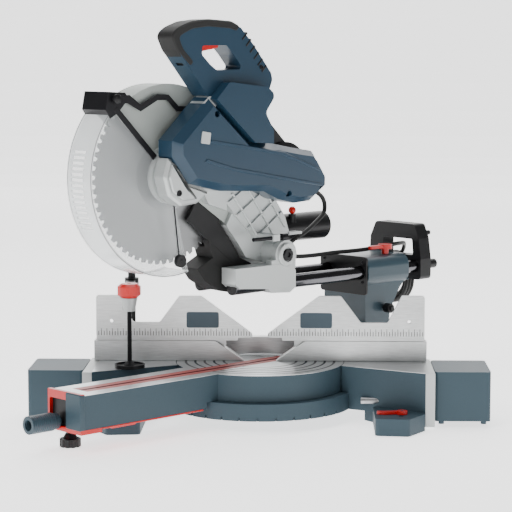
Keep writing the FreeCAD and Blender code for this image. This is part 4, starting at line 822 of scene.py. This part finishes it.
def arm_details():
    strips = [((-104, 398), (-70, 418)), ((-84, 374), (-20, 414)), ((-58, 350), (8, 396)),
              ((-34, 334), (26, 374)), ((-96, 414), (-34, 334)), ((-56, 417), (4, 336)),
              ((-16, 413), (34, 346))]
    for k, (a, b) in enumerate(strips):
        a, b = np.array(a, float), np.array(b, float)
        side = np.array([-(b - a)[1], (b - a)[0]]) / np.linalg.norm(b - a) * 1.7
        place_slab("arm_rib_%d" % k, [a - side, b - side, b + side, a + side], 27.0, 31.6, 0.8,
                   "head", MATERIALS["light_alloy"])
    y, z = float(PIVOT[1]), float(PIVOT[2])
    boss = turned_shape("pivot_boss", [(0, 21), (3.5, 21), (5, 19.5), (5, 13), (2, 12.5)],
                        (61.4, y, z), (1, 0, 0), 56)
    finish_piece(boss, "carriage", MATERIALS["light_alloy"], 35)
    cap = turned_shape("pivot_cap", [(0, 12), (5.5, 12), (7, 10.5), (7, 5), (4.5, 4.6), (4.5, 0.02)],
                       (61.4, y, z), (1, 0, 0), 6)
    finish_piece(cap, "carriage", MATERIALS["black_steel"], 30)


def guard_details():
    y, z = float(ARBOR[1]), float(ARBOR[2])
    knob = turned_shape("link_knob", [(0, 6), (1.5, 8), (6, 8), (7.2, 6.6), (7.4, 0.02)],
                        (23.8, -352, 584), (1, 0, 0), 32)
    finish_piece(knob, "link", MATERIALS["black_plastic"], 40)
    rod = swept("guard_rod", np.linspace((21.2, y + 8, z - 47), (21.2, -213, 312), 12), 1.3, 10)
    finish_piece(rod, "lower_guard", MATERIALS["black_steel"], 50)
    angle = np.radians(np.linspace(136, 283, 90))
    rim = np.stack([np.full(90, 20.4), y + 171.0 * np.cos(angle), z + 171.0 * np.sin(angle)], -1)
    # painted reflection: thin black tubes along both rims stand for the dark line the clear rim's edge shows
    for side, x in (("near", 19.6), ("far", -42.6)):
        rim[:, 0] = x
        edge = swept("guard_lip_dark_line_" + side, rim, 0.7, 8)
        finish_piece(edge, "lower_guard", MATERIALS["black_plastic"], 60)


def table_details():
    """The painted corner, and a thin black plate of painted shade standing for the recess at the arm's front end.
    """
    corner = [(6, 41), (45.8, 41), (45.8, 101.6), (6, 101.6)]
    place_slab("arm_corner", corner, -450.5, -439.5, 1.2, "table", SPECIAL["extension_left"],
               axis="y", corner=3)
    # painted shade: a thin black sheet stands in for the shade inside the recess
    recess = [(-40, 42), (8, 42), (8, 88), (-40, 88)]
    place_slab("arm_recess_shade", recess, -441.6, -439.8, 0.4, "table", MATERIALS["black_plastic"],
               axis="y")


def fence_details():
    for body, low, high, top in (("fence_left", -134, -75, 190), ("fence_right", 73, 131, 189)):
        plate = rounded([(low, 161), (high, 161), (high, top), (low, top)], 4)
        made = slab("label_plate_" + body, plate, "y", -0.9, 0.4, 0.3, turned=False)
        finish_piece(made, body, LABEL, 30)
    for side in (-1, 1):
        low, high = sorted((side * 311.2, side * 309.0))
        for k, place in enumerate((-100, -52, 10)):
            head = turned_shape("plate_screw_%d_%d" % (side, k),
                                [(0, 5), (1.4, 5), (2.0, 4.2), (2.0, 2.6), (0.8, 2.5), (0.8, 0.02)],
                                (side * 310.6, place, 78), (side, 0, 0), 20, turned=False)
            finish_piece(head, "base", MATERIALS["black_steel"], 40)
    for k, (x, y) in enumerate(((-270, 18), (-190, 18), (190, 18), (270, 18))):
        head = turned_shape("fence_bolt_%d" % k, [(0, 6), (4, 6), (5, 5), (5, 3), (2.5, 2.9), (2.5, 0.02)],
                            (x, y + 12, 108), (0, 0, 1), 20, turned=False)
        finish_piece(head, "base", MATERIALS["black_steel"], 40)


def bracket_details():
    for k, (x, z) in enumerate(((-50, 268), (50, 268), (-50, 230), (50, 230))):
        screw_head("wiper_screw_%d" % k, (x, 217.2, z), (0, -1, 0), 3.0, "trunnion")
    for k, x in enumerate((-42, 42)):
        plug = turned_shape("rail_plug_%d" % k, [(0, 12.2), (2.2, 12.2), (3, 11.2), (3, 4), (2.2, 3.6),
                                                 (2.2, 0.02)], (x, -108, 247.5), (0, -1, 0), 40)
        finish_piece(plug, "carriage", MATERIALS["black_plastic"], 40)
    for k in range(3):
        slot = [(-60 + 0.0, 226 + 14 * k), (60, 226 + 14 * k), (60, 229 + 14 * k), (-60, 229 + 14 * k)]
        place_slab("bracket_rib_%d" % k, slot, 334, 336.4, 0.8, "trunnion", SPECIAL["trunnion"],
                   axis="y")


SPECIAL["extension_right"] = SPECIAL["extension_left"]
LABEL = plain("label_plate", (0.055, 0.085, 0.11), 0.35, 120.0, 0.03, 0.00003)

camera()
studio()
floor()
cords()
built_parts()
handle_details()
cover_details()
arm_details()
guard_details()
table_details()
fence_details()
bracket_details()
